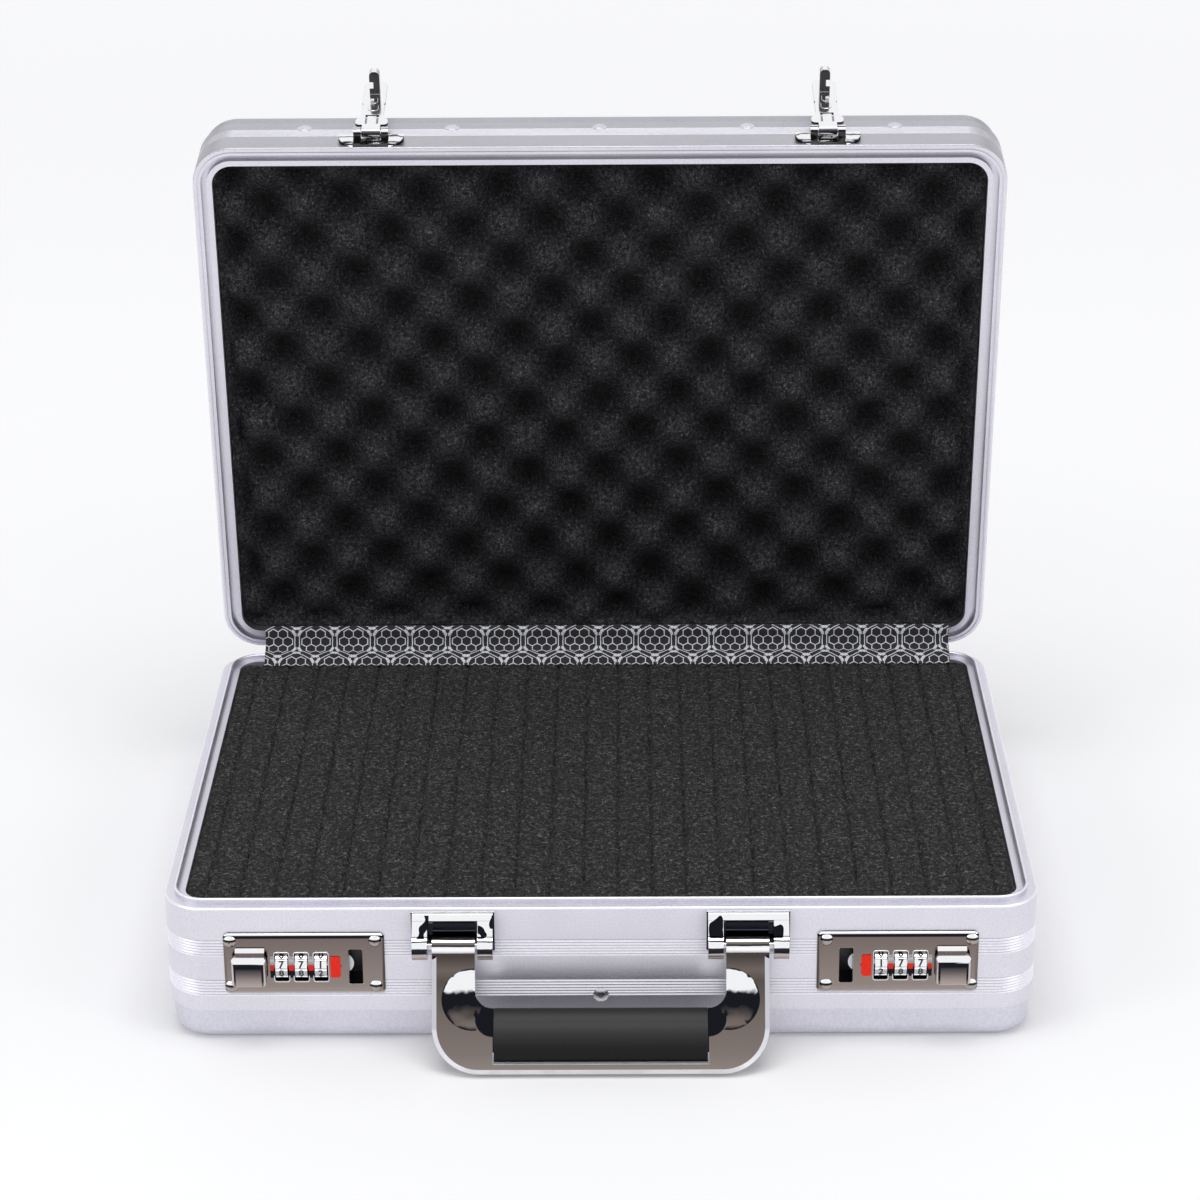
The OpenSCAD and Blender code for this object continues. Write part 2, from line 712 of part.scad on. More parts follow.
// Point pulled in to the rounded corners of a rectangle
function in_corner(p, w, d, r) = let (cx = w/2 - r, cy = d/2 - r, over = [max(abs(p[0]) - cx, 0), max(abs(p[1]) - cy, 0)],
    far = norm(over), k = far > r ? r/far : 1)
    [sign(p[0])*(min(abs(p[0]), cx) + over[0]*k), sign(p[1])*(min(abs(p[1]), cy) + over[1]*k)];

module lid_foam() {
    w = case_w - 2*rim_w - 2*foam_gap;
    d = case_d - 2*rim_w - 2*foam_gap;
    nx = 42;
    ny = 28;
    columns = nx + 1;
    back = base_h + lid_h - pan_t - 0.2;
    face = base_h + lid_foam_peak + crate_depth;
    plan = [for (j = [0:ny], i = [0:nx])
        in_corner([-w/2 + i*w/nx, -d/2 + j*d/ny], w, d, corner_r - rim_w - foam_gap)];
    n = len(plan);
    points = concat([for (p = plan) [p[0], p[1], face - crate(p[0], p[1])]], [for (p = plan) [p[0], p[1], back]]);
    // The diagonals of neighbouring cells alternate, so that humps and hollows stay even
    waves = [for (j = [0:ny - 1], i = [0:nx - 1]) let (a = j*columns + i, b = a + 1, c = b + columns, e = a + columns)
        each (i + j) % 2 == 0 ? [[a, b, c], [a, c, e]] : [[a, b, e], [b, c, e]]];
    edge = concat([for (i = [0:nx]) i], [for (j = [1:ny]) j*columns + nx],
        [for (i = [nx - 1:-1:0]) ny*columns + i], [for (j = [ny - 1:-1:1]) j*columns]);
    m = len(edge);
    sides = [for (k = [0:m - 1]) let (a = edge[k], b = edge[(k + 1) % m]) each [[b, a, a + n], [b, a + n, b + n]]];
    flat_back = [[for (k = [m - 1:-1:0]) edge[k] + n]];
    color([0.13, 0.13, 0.14]) opened() polyhedron(points, concat(waves, sides, flat_back));
}

// Hasps

// Plate with two ears for the pin, feet below them and a bulged wing on each side
module hasp_base() {
    wing_vault = (wing_r*wing_r + wing_rise*wing_rise)/(2*wing_rise);
    difference() {
        union() {
            translate([0, front_y, hasp_z]) rotate([90, 0, 0]) linear_extrude(1.2) rounded(20, 16.4, 1.5);
            translate([0, front_y, hasp_z]) for (s = [-1, 1]) intersection() {
                rotate([90, 0, 0]) linear_extrude(wing_rise) intersection() {
                    translate([s*10, 0]) circle(r = wing_r, $fn = 64);
                    translate([s*14.8, 0]) square([10.2, 2*wing_r], center = true);
                }
                translate([-20, wing_vault - wing_rise, 0]) rotate([0, 90, 0]) cylinder(r = wing_vault, h = 40, $fn = 128);
            }
            for (s = [-1, 1]) translate([s*(ear_in + ear_out)/2 - (ear_out - ear_in)/2, 0, 0]) rotate([90, 0, 90])
                linear_extrude(ear_out - ear_in) {
                    translate([hasp_pin_y, hasp_z]) circle(r = ear_r, $fn = 48);
                    translate([hasp_pin_y, hasp_z - ear_r]) square([front_y - hasp_pin_y, 2*ear_r]);
                    translate([front_y - 1.9, hasp_z - 8.6]) square([1.9, 8.6]);
                }
        }
        translate([-20, hasp_pin_y, hasp_z]) rotate([0, 90, 0]) cylinder(r = hasp_pin_r + pin_ease, h = 40, $fn = 32);
    }
}

module hasp_pin() {
    translate([-ear_out, hasp_pin_y, hasp_z]) rotate([0, 90, 0]) cylinder(r = hasp_pin_r, h = 2*ear_out, $fn = 32);
}

// Lever: neck with a sprung tab, shoulders and round-ended plate, with the tongue that locks in the slot
module hasp_lever() {
    difference() {
        union() {
            translate([-barrel_w/2, hasp_pin_y, hasp_z]) rotate([0, 90, 0]) cylinder(r = barrel_r, h = barrel_w, $fn = 48);
            translate([0, lever_in, hasp_z]) rotate([90, 0, 0]) linear_extrude(lever_t) {
                translate([-barrel_w/2, -20]) square([barrel_w, 20]);
                translate([0, -7.6]) rounded(18, 6.8, 2.4);
                polygon([[-9, -8.6], [9, -8.6], [9, -9.4], [6.2, -15.6], [6.2, -28], [-6.2, -28], [-6.2, -15.6], [-9, -9.4]]);
                translate([0, -(lever_len + 26)/2]) rounded(13, lever_len - 26, 5);
            }
            // Raised rib down the plate's outer face
            translate([0, lever_in - lever_t, hasp_z - 36]) rotate([90, 0, 0]) linear_extrude(0.7) rounded(8, 30, 3.5);
            // Oval boss and pad on the inner face, between the tongue and the hinge
            translate([0, lever_in + 0.3, hasp_z - 33]) rotate([90, 0, 0]) linear_extrude(0.5) rounded(4, 8, 1.9);
            translate([0, lever_in + 0.3, hasp_z - 24]) rotate([90, 0, 0]) linear_extrude(0.5) rounded(5.6, 7.6, 2);
        }
        translate([-10, hasp_pin_y, hasp_z]) rotate([0, 90, 0]) cylinder(r = hasp_pin_r + fit_gap, h = 20, $fn = 32);
        // Slot round the sprung tab
        translate([0, lever_in + 1, hasp_z]) rotate([90, 0, 0]) linear_extrude(lever_t + 2) difference() {
            translate([-3.6, -15.6]) square([7.2, 10.4]);
            translate([-2.6, -14.4]) square([5.2, 10]);
        }
    }
    // Tongue with a round tip and a notch for the slider's nose
    translate([0, lever_in - 0.2, hasp_z - tongue_at - hook_h/2]) linear_extrude(hook_h) difference() {
        union() {
            translate([-hook_w/2, 0]) square([hook_w, hook_len + 0.2 - hook_w/2]);
            translate([0, hook_len + 0.2 - hook_w/2]) circle(r = hook_w/2, $fn = 48);
        }
        translate([-hook_w/2 - 1, nose_y - nose_t/2 - 0.9 - lever_in + 0.2]) square([hook_notch + 1, nose_t + 1.8]);
    }
}

// Turns a lever about its pin from latched to the chosen angle, still on the closed lid
module flipped() {
    translate([0, hasp_pin_y, hasp_z]) rotate([-hasp_flip, 0, 0]) translate([0, -hasp_pin_y, -hasp_z]) children();
}

module at_left_hasp() {
    translate([-hasp_x, 0, 0]) children();
}

module hasp_base_left() { color("gainsboro") opened() at_left_hasp() hasp_base(); }
module hasp_base_right() { color("gainsboro") opened() on_right() at_left_hasp() hasp_base(); }
module hasp_pin_left() { color("dimgray") opened() at_left_hasp() hasp_pin(); }
module hasp_pin_right() { color("dimgray") opened() on_right() at_left_hasp() hasp_pin(); }
module hasp_lever_left() { color("gainsboro") opened() at_left_hasp() flipped() hasp_lever(); }
module hasp_lever_right() { color("gainsboro") opened() on_right() at_left_hasp() flipped() hasp_lever(); }

// Lining over the hinge

// Unit normal of the lining's route at point i
function route_normal(i) = let (n = len(lining_route), a = lining_route[max(i - 1, 0)], b = lining_route[min(i + 1, n - 1)],
    d = b - a) [-d[1], d[0]]/norm(d);

module hinge_lining() {
    n = len(lining_route);
    upper = [for (i = [0:n - 1]) lining_route[i] + route_normal(i)*lining_t/2];
    lower = [for (i = [n - 1:-1:0]) lining_route[i] - route_normal(i)*lining_t/2];
    color([0.2, 0.2, 0.22]) translate([lining_x[0], 0, base_h]) rotate([90, 0, 90])
        linear_extrude(lining_x[1] - lining_x[0]) polygon(concat(upper, lower));
}

// Handle, drawn hanging with its pins at the origin and z running up

module leg_outline() {
    bar_top = grip_u[1] + 1.3;
    difference() {
        union() {
            for (s = [-1, 1]) {
                translate([s*(handle_w - leg_w)/2 - leg_w/2, -handle_reach + outer_corner_r])
                    square([leg_w, handle_reach - outer_corner_r]);
                translate([s*(handle_w/2 - outer_corner_r), -handle_reach + outer_corner_r])
                    circle(r = outer_corner_r, $fn = 96);
            }
            translate([-handle_w/2 + outer_corner_r, -handle_reach])
                square([handle_w - 2*outer_corner_r, outer_corner_r]);
        }
        // Space between the legs, down to the lip below the grip
        translate([-grip_len/2, -bar_top]) square([grip_len, 60]);
        for (s = [-1, 1]) beside_grip(s);
    }
}

// Space between a leg and the grip's end, rounded where the leg turns into the lip
module beside_grip(s) {
    reach = handle_w/2 - leg_w - grip_len/2;
    straight = 37;
    translate([s > 0 ? grip_len/2 - 0.1 : -grip_len/2 - reach, -straight]) square([reach + 0.1, 60]);
    translate([s*grip_len/2, -straight]) intersection() {
        circle(r = reach, $fn = 48);
        translate([-reach, -reach]) square([2*reach, reach]);
    }
}

// Core bar inside the grip and the thin webs beside its ends, hollowed towards the legs
module core_outline() {
    inner = handle_w/2 - leg_w;
    reach = inner - grip_len/2;
    translate([-inner, -core_u[1]]) square([2*inner, core_u[1] - core_u[0]]);
    for (s = [-1, 1]) difference() {
        translate([s > 0 ? grip_len/2 - 0.5 : -inner - 0.5, -core_u[1]])
            square([reach + 1, core_u[1] - grip_u[0] + reach]);
        translate([s*grip_len/2, -grip_u[0] + reach]) circle(r = reach, $fn = 48);
    }
}

// Cutter for the bevel along the outer edge of the handle's front, from pin to pin
module edge_bevel_cutter() {
    across = handle_w/2 - outer_corner_r;
    down = handle_reach - outer_corner_r;
    for (s = [0, 1]) mirror([s, 0, 0]) translate([0, 0, -down]) {
        translate([across, 0, 0]) linear_extrude(down - handle_knuckle_r) mirror([0, 1]) bevel_section();
        translate([across, 0, 0]) rotate([90, 0, 0]) rotate([0, 0, -90]) rotate_extrude(angle = 90, $fn = 96) bevel_section();
        rotate([90, 0, 90]) linear_extrude(across) mirror([1, 1]) bevel_section();
    }
}

// Section of the bevel: x outwards from the corner's centre, y towards the front
module bevel_section() {
    deep = 0.8*edge_bevel;
    translate([outer_corner_r, handle_t/2])
        polygon([[-edge_bevel, 0], [-edge_bevel, 0.1], [0.1, 0.1], [0.1, -deep], [0, -deep]]);
}

module handle_frame_hanging() {
    scoop_ball = (scoop_r*scoop_r + scoop_deep*scoop_deep)/(2*scoop_deep);
    difference() {
        union() {
            rotate([90, 0, 0]) translate([0, 0, -handle_t/2]) linear_extrude(handle_t) leg_outline();
            // Core bar inside the grip, which also closes the corners beside its ends
            rotate([90, 0, 0]) translate([0, 0, -core_t/2]) linear_extrude(core_t) core_outline();
            for (s = [-1, 1]) translate([s*(handle_w - leg_w)/2 - leg_w/2, 0, 0]) rotate([0, 90, 0])
                cylinder(r = handle_knuckle_r, h = leg_w, $fn = 64);
        }
        translate([-handle_w, 0, 0]) rotate([0, 90, 0])
            cylinder(r = handle_pin_r + fit_gap, h = 2*handle_w, $fn = 48);
        edge_bevel_cutter();
        // Shallow scoop in the front of each elbow
        for (s = [-1, 1]) translate([s*(handle_w/2 - leg_w + 1.3), -handle_t/2 + scoop_deep - scoop_ball, -27])
            sphere(r = scoop_ball, $fn = 192);
    }
}

// D section of the grip: crowned front, nearly flat back
module grip_section() {
    half = (grip_u[1] - grip_u[0])/2;
    front = 8;
    back = 4.8;
    bulge = 6;
    front_r = (half*half + bulge*bulge)/(2*bulge);
    intersection() {
        translate([-back, -half]) square([front + back, 2*half]);
        translate([front - front_r, 0]) circle(r = front_r, $fn = 128);
        translate([-back + 60, 0]) circle(r = 60, $fn = 256);
    }
}

module handle_grip_hanging() {
    difference() {
        translate([-grip_len/2 + 0.6, 0, -(grip_u[0] + grip_u[1])/2]) rotate([90, 0, 90]) linear_extrude(grip_len - 1.2)
            mirror([1, 0]) grip_section();
        translate([-grip_len, -core_t/2 - fit_gap, -core_u[1] - fit_gap])
            cube([2*grip_len, core_t + 2*fit_gap, core_u[1] - core_u[0] + 2*fit_gap]);
    }
}

module leaned() {
    translate([0, pivot_y, pivot_z]) rotate([-handle_lean, 0, 0]) children();
}

module handle_frame() {
    color("gainsboro") leaned() handle_frame_hanging();
}

module handle_grip() {
    color([0.12, 0.12, 0.12]) leaned() handle_grip_hanging();
}

base_frame();
base_tray();
base_rivets();
base_foam();
base_foam_pad();
base_feet();
hinge_leaf_base();
hinge_pin();
handle_bracket_left();
handle_bracket_right();
handle_pin_left();
handle_pin_right();
lock_plate_left();
lock_plate_right();
lock_housing_left();
lock_housing_right();
lock_screws_left();
lock_screws_right();
dial_shaft_left();
dial_shaft_right();
indicator_left();
indicator_right();
lid_frame();
lid_panel();
lid_rivets();
lid_foam();
lid_feet();
hinge_leaf_lid();
hasp_base_left();
hasp_base_right();
hasp_pin_left();
hasp_pin_right();
hinge_lining();
handle_frame();
handle_grip();
hasp_lever_left();
hasp_lever_right();
lock_button_left();
lock_button_right();
lock_slider_left();
lock_slider_right();
return_spring_left();
return_spring_right();
dial_left(1);  // dial_left_1
dial_left(2);  // dial_left_2
dial_left(3);  // dial_left_3
dial_right(1);  // dial_right_1
dial_right(2);  // dial_right_2
dial_right(3);  // dial_right_3
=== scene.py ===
import math

import bpy
import numpy as np
from mathutils import Matrix, Vector, noise


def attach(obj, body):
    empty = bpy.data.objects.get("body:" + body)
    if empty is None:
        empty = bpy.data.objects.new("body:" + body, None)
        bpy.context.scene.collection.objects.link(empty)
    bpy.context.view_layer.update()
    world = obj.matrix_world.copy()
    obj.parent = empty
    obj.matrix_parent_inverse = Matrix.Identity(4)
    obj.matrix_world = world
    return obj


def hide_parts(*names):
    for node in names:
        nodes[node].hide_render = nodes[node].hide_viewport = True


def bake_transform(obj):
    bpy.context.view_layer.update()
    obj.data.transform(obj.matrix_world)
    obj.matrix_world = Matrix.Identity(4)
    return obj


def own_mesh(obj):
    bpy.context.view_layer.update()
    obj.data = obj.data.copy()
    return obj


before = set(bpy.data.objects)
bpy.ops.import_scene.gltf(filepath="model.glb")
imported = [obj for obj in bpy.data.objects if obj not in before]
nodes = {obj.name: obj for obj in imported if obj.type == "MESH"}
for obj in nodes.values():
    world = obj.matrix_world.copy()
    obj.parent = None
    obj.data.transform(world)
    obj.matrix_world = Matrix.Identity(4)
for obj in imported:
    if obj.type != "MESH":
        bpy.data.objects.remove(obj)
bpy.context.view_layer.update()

MM = 0.001
SIDES = ("left", "right")

# Case sizes, in millimetres, as in the part's source
CASE_W, CASE_D, BASE_H, LID_H = 450, 320, 78, 53
CORNER_R, RIM_W = 22, 10.7
HINGE_Y, LID_OPEN = 163.6, 82.5
FOAM_GAP, FOAM_TOP, PAD_TOP = 0.5, 76.5, 9.4
PLUCK, WAVE_DEEP = 17.7, 14

# Locks and handle, in millimetres: places across, height of the window line, and front faces
WINDOW_X, WINDOW_PITCH, WINDOW_Z, SLOT_X = 143.6, 10.1, 45, 125.8
PLATE_FRONT, BUTTON_FRONT, RIM_BACK = 162, 169, 161.75
DIAL_Y, DIAL_FLAT, DIGIT = 156.85, 7.99, 5.4
PIVOT_Y, PIVOT_Z, HANDLE_T, BRACKET_X = 167, 59.5, 6.5, 75


def closed_to_open(points):
    """Turns points, in millimetres, from the closed lid to the open lid of the photograph."""
    c, s = math.cos(math.radians(LID_OPEN)), math.sin(math.radians(LID_OPEN))
    y, z = points[:, 1] - HINGE_Y, points[:, 2] - BASE_H
    return np.column_stack([points[:, 0], HINGE_Y + y * c + z * s, BASE_H - y * s + z * c])


# Camera and light

def photo_camera():
    """Camera fitted to the rims and corners in the photograph."""
    pitch, yaw, roll = (math.radians(a) for a in (23.045, 0.506, -0.428))
    right = Vector((math.cos(yaw), math.sin(yaw), 0))
    ahead = Vector((-math.sin(yaw) * math.cos(pitch), math.cos(yaw) * math.cos(pitch), -math.sin(pitch)))
    down = ahead.cross(right)
    across = right * math.cos(roll) - down * math.sin(roll)
    below = right * math.sin(roll) + down * math.cos(roll)
    data = bpy.data.cameras.new("photo_camera")
    data.lens, data.sensor_width, data.clip_end = 103.16, 36, 50
    camera = bpy.data.objects.new("photo_camera", data)
    bpy.context.scene.collection.objects.link(camera)
    turn = Matrix((across, -below, -ahead)).transposed().to_4x4()
    camera.matrix_world = Matrix.Translation((0.0147, -1.7121, 0.9085)) @ turn
    bpy.context.scene.camera = camera


def softbox(name, place, target, size, power):
    data = bpy.data.lights.new(name, "AREA")
    data.shape, data.size, data.size_y, data.energy = "RECTANGLE", size[0], size[1], power
    lamp = bpy.data.objects.new(name, data)
    bpy.context.scene.collection.objects.link(lamp)
    aim = (Vector(target) - Vector(place)).to_track_quat("-Z", "Y")
    lamp.matrix_world = Matrix.Translation(place) @ aim.to_matrix().to_4x4()


def studio():
    """Pale world, three soft lamps and a white floor."""
    scene = bpy.context.scene
    scene.view_settings.view_transform = "Standard"
    world = bpy.data.worlds.new("studio")
    scene.world = world
    world.use_nodes = True
    n, l = world.node_tree.nodes, world.node_tree.links
    n.clear()
    out, path = n.new("ShaderNodeOutputWorld"), n.new("ShaderNodeLightPath")
    pale, soft, mix = n.new("ShaderNodeBackground"), n.new("ShaderNodeBackground"), n.new("ShaderNodeMixShader")
    pale.inputs[0].default_value, pale.inputs[1].default_value = (0.96, 0.965, 0.97, 1), 1.0
    soft.inputs[0].default_value, soft.inputs[1].default_value = (0.97, 0.975, 1.0, 1), 0.62
    seen = math_node(n, l, "MAXIMUM", path.outputs["Is Camera Ray"], path.outputs["Is Glossy Ray"])
    l.new(math_node(n, l, "MAXIMUM", seen, path.outputs["Is Transmission Ray"]), mix.inputs[0])
    l.new(soft.outputs[0], mix.inputs[1])
    l.new(pale.outputs[0], mix.inputs[2])
    l.new(mix.outputs[0], out.inputs[0])
    softbox("softbox_above", (0.0, -0.35, 2.1), (0, 0.05, 0.1), (1.5, 0.9), 17)
    softbox("softbox_left", (-1.7, -1.1, 1.3), (0, 0, 0.15), (0.8, 1.2), 5)
    softbox("softbox_right", (1.7, -1.1, 1.3), (0, 0, 0.15), (0.8, 1.2), 4)
    bpy.ops.object.select_all(action="DESELECT")
    bpy.ops.mesh.primitive_plane_add(size=14)
    floor = bpy.context.object
    floor.name = "floor"
    floor.data.materials.append(floor_white())


# Materials

def blank(name):
    """New material with its nodes, links and main shader."""
    material = bpy.data.materials.new(name)
    material.use_nodes = True
    tree = material.node_tree
    return material, tree.nodes, tree.links, tree.nodes["Principled BSDF"]


def math_node(n, l, operation, a, b=None, c=None):
    """Result of an operation on sockets or numbers."""
    node = n.new("ShaderNodeMath")
    node.operation = operation
    for i, value in enumerate((a, b, c)):
        if value is None:
            continue
        if isinstance(value, (int, float)):
            node.inputs[i].default_value = value
        else:
            l.new(value, node.inputs[i])
    return node.outputs[0]


def vector_node(n, l, operation, *values):
    """Vector node of an operation on sockets or constants."""
    node = n.new("ShaderNodeVectorMath")
    node.operation = operation
    for i, value in enumerate(values):
        if isinstance(value, tuple):
            node.inputs[i].default_value = value
        else:
            l.new(value, node.inputs[i])
    return node


def blended(n, l, amount, first, second):
    """Mix of two colours, each a socket or a constant, by a socket."""
    node = n.new("ShaderNodeMixRGB")
    l.new(amount, node.inputs[0])
    for i, colour in ((1, first), (2, second)):
        if isinstance(colour, tuple):
            node.inputs[i].default_value = (*colour, 1)
        else:
            l.new(colour, node.inputs[i])
    return node.outputs[0]


def upward_part(n, l, split):
    """Upward part of the direction a face points in, from 0 for down to 1 for up."""
    return math_node(n, l, "MULTIPLY_ADD", split.outputs["Z"], 0.5, 0.5)


def up_stops(stops):
    """Stops by upward part from -1 to 1, as a ramp takes them."""
    return [(0.5 + 0.5 * z, shade) for z, shade in stops]


def by_height(n, l, place, low, high, stops):
    """Colour by height, from stops between a lowest and a highest place in metres."""
    shade = ramp(n, stops)
    share = math_node(n, l, "MULTIPLY_ADD", place.outputs["Z"], 1 / (high - low), -low / (high - low))
    l.new(share, shade.inputs[0])
    return shade.outputs[0]


def floor_white():
    """Matte white sheet, with a little light of its own far from the case towards the camera and in reflections."""
    material, n, l, shader = blank("floor_white")
    shader.inputs["Base Color"].default_value = (0.92, 0.92, 0.925, 1)
    shader.inputs["Roughness"].default_value = 0.9
    glow, both, path = n.new("ShaderNodeEmission"), n.new("ShaderNodeAddShader"), n.new("ShaderNodeLightPath")
    glow.inputs["Color"].default_value = (1, 1, 1, 1)
    where = n.new("ShaderNodeTexCoord")
    far = vector_node(n, l, "LENGTH", where.outputs["Object"])
    rising = ramp(n, [(0.08, grey(0.03)), (0.22, grey(0.09)), (0.36, grey(0.16)), (0.9, grey(0.29))])
    l.new(math_node(n, l, "MULTIPLY", far.outputs["Value"], 0.4), rising.inputs[0])
    seen = math_node(n, l, "MULTIPLY", path.outputs["Is Camera Ray"], rising.outputs[0])
    l.new(math_node(n, l, "MULTIPLY_ADD", path.outputs["Is Glossy Ray"], 0.25, seen), glow.inputs["Strength"])
    l.new(shader.outputs[0], both.inputs[0])
    l.new(glow.outputs[0], both.inputs[1])
    l.new(both.outputs[0], n["Material Output"].inputs[0])
    return material


def ramp(n, stops):
    """Colour ramp through stops, each a place from 0 to 1 and a colour."""
    node = n.new("ShaderNodeValToRGB")
    while len(node.color_ramp.elements) < len(stops):
        node.color_ramp.elements.new(0.5)
    for element, (at, colour) in zip(node.color_ramp.elements, stops):
        element.position = at
        element.color = (*colour, 1) if len(colour) == 3 else colour
    return node


def grey(v):
    return (v, v, v)


def spot_noise(n, l, scale, detail=2.0, stretch=(1, 1, 1)):
    where, mapping, spots = n.new("ShaderNodeTexCoord"), n.new("ShaderNodeMapping"), n.new("ShaderNodeTexNoise")
    mapping.inputs["Scale"].default_value = stretch
    spots.inputs["Scale"].default_value = scale
    spots.inputs["Detail"].default_value = detail
    l.new(where.outputs["Object"], mapping.inputs[0])
    l.new(mapping.outputs[0], spots.inputs["Vector"])
    return spots


def bump_from(n, l, source, shader, strength, distance):
    node = n.new("ShaderNodeBump")
    node.inputs["Strength"].default_value = strength
    node.inputs["Distance"].default_value = distance
    l.new(source, node.inputs["Height"])
    l.new(node.outputs[0], shader.inputs["Normal"])


def satin_aluminium(name, low, high, rough, grain=900, painted_shading=None):
    """Drawn or rolled aluminium: pale, fine grained, slightly mottled. Optional factors by a face's upward part scale
    the colour: painted shade and painted highlight.
    """
    material, n, l, shader = blank(name)
    shader.inputs["Metallic"].default_value = 1
    fine = spot_noise(n, l, grain, 3)
    broad = spot_noise(n, l, 28, 2)
    mottle = math_node(n, l, "MULTIPLY_ADD", broad.outputs["Fac"], 0.35, fine.outputs["Fac"])
    tint = ramp(n, [(0.42, low), (0.95, high)])
    l.new(mottle, tint.inputs[0])
    colour = tint.outputs[0]
    # Painted shade and painted highlight: the colour is scaled by factors by the upward part
    if painted_shading:
        where, split = n.new("ShaderNodeTexCoord"), n.new("ShaderNodeSeparateXYZ")
        l.new(where.outputs["Normal"], split.inputs[0])
        # The ramp holds half of each factor, because its colours end at 1
        halves = ramp(n, up_stops([(z, grey(0.5 * share)) for z, share in painted_shading]))
        l.new(upward_part(n, l, split), halves.inputs[0])
        factor = vector_node(n, l, "SCALE", halves.outputs[0])
        factor.inputs["Scale"].default_value = 2
        colour = vector_node(n, l, "MULTIPLY", colour, factor.outputs[0]).outputs[0]
    l.new(colour, shader.inputs["Base Color"])
    polish = ramp(n, [(0.35, grey(rough - 0.05)), (0.7, grey(rough + 0.07))])
    l.new(fine.outputs["Fac"], polish.inputs[0])
    l.new(polish.outputs[0], shader.inputs["Roughness"])
    bump_from(n, l, fine.outputs["Fac"], shader, 0.25, 0.00006)
    return material


# How far a face may lie from a plane to be in it, how far it must stand out to be in front of it, and where the
# brackets' outer parts begin, in metres
FLAT_WITHIN, PROUD_BY, BRACKET_EDGE = 0.00001, 0.00008, 0.0125


def polished(name, stops, rough=0.08, side_reflection=None, plane=None, flat_reflections=None, proud_reflections=None, reflection_wobble=0.05, dark_reflection_patches=None):
    """Polished metal whose reflections are painted into its colour by stops of the upward part. Optional are a painted
    reflection colour for faces that point left or right, stops of painted reflections on what lies in a plane and on
    what stands in front of it, and two heights in metres with ragged painted dark reflections between them."""
    material, n, l, shader = blank(name)
    shader.inputs["Metallic"].default_value = 1
    where, split, place = n.new("ShaderNodeTexCoord"), n.new("ShaderNodeSeparateXYZ"), n.new("ShaderNodeSeparateXYZ")
    l.new(where.outputs["Normal"], split.inputs[0])
    l.new(where.outputs["Object"], place.inputs[0])
    smudge, waves = spot_noise(n, l, 60, 3), spot_noise(n, l, 150, 2)
    # Noise makes the edges of the painted reflections waver
    sway = math_node(n, l, "SUBTRACT", waves.outputs["Fac"], 0.5)
    up = math_node(n, l, "MULTIPLY_ADD", sway, reflection_wobble, upward_part(n, l, split))
    tint = ramp(n, up_stops(stops))
    l.new(up, tint.inputs[0])
    colour = tint.outputs[0]
    # Faces that point left or right get a painted reflection colour
    if side_reflection:
        turned = ramp(n, [(0.3, grey(0)), (0.62, grey(1))])
        l.new(math_node(n, l, "ABSOLUTE", split.outputs["X"]), turned.inputs[0])
        colour = blended(n, l, turned.outputs[0], colour, side_reflection)
    if plane:
        depth = vector_node(n, l, "DOT_PRODUCT", where.outputs["Object"], plane[0])
        ahead = math_node(n, l, "SUBTRACT", depth.outputs["Value"], plane[1])
    # What stands in front of the plane gets painted reflections of its own
    if proud_reflections:
        front = ramp(n, up_stops(proud_reflections))
        l.new(up, front.inputs[0])
        colour = blended(n, l, math_node(n, l, "GREATER_THAN", ahead, PROUD_BY), colour, front.outputs[0])
    # What lies in the plane gets painted reflections by height
    if flat_reflections:
        low, high = flat_reflections[0][0], flat_reflections[-1][0]
        shade = by_height(n, l, place, low, high, [((z - low) / (high - low), c) for z, c in flat_reflections])
        colour = blended(n, l, math_node(n, l, "COMPARE", ahead, 0, FLAT_WITHIN), colour, shade)
    # Ragged painted dark reflections between two heights, on the brackets' outer parts
    if dark_reflection_patches:
        low, high = dark_reflection_patches
        ragged_reflection = math_node(n, l, "GREATER_THAN", spot_noise(n, l, 105, 1, (1, 1, 0.7)).outputs["Fac"], 0.52)
        band = math_node(n, l, "COMPARE", place.outputs["Z"], (low + high) / 2, (high - low) / 2)
        from_bracket = math_node(n, l, "SUBTRACT", math_node(n, l, "ABSOLUTE", place.outputs["X"]), BRACKET_X * MM)
        outer = math_node(n, l, "GREATER_THAN", math_node(n, l, "ABSOLUTE", from_bracket), BRACKET_EDGE)
        dark = math_node(n, l, "MULTIPLY", math_node(n, l, "MULTIPLY", ragged_reflection, band), outer)
        colour = blended(n, l, dark, colour, PAINTED_BLACK)
    l.new(colour, shader.inputs["Base Color"])
    polish = ramp(n, [(0.3, grey(rough)), (0.75, grey(rough + 0.09))])
    l.new(smudge.outputs["Fac"], polish.inputs[0])
    l.new(polish.outputs[0], shader.inputs["Roughness"])
    bump_from(n, l, smudge.outputs["Fac"], shader, 0.05, 0.0002)
    return material


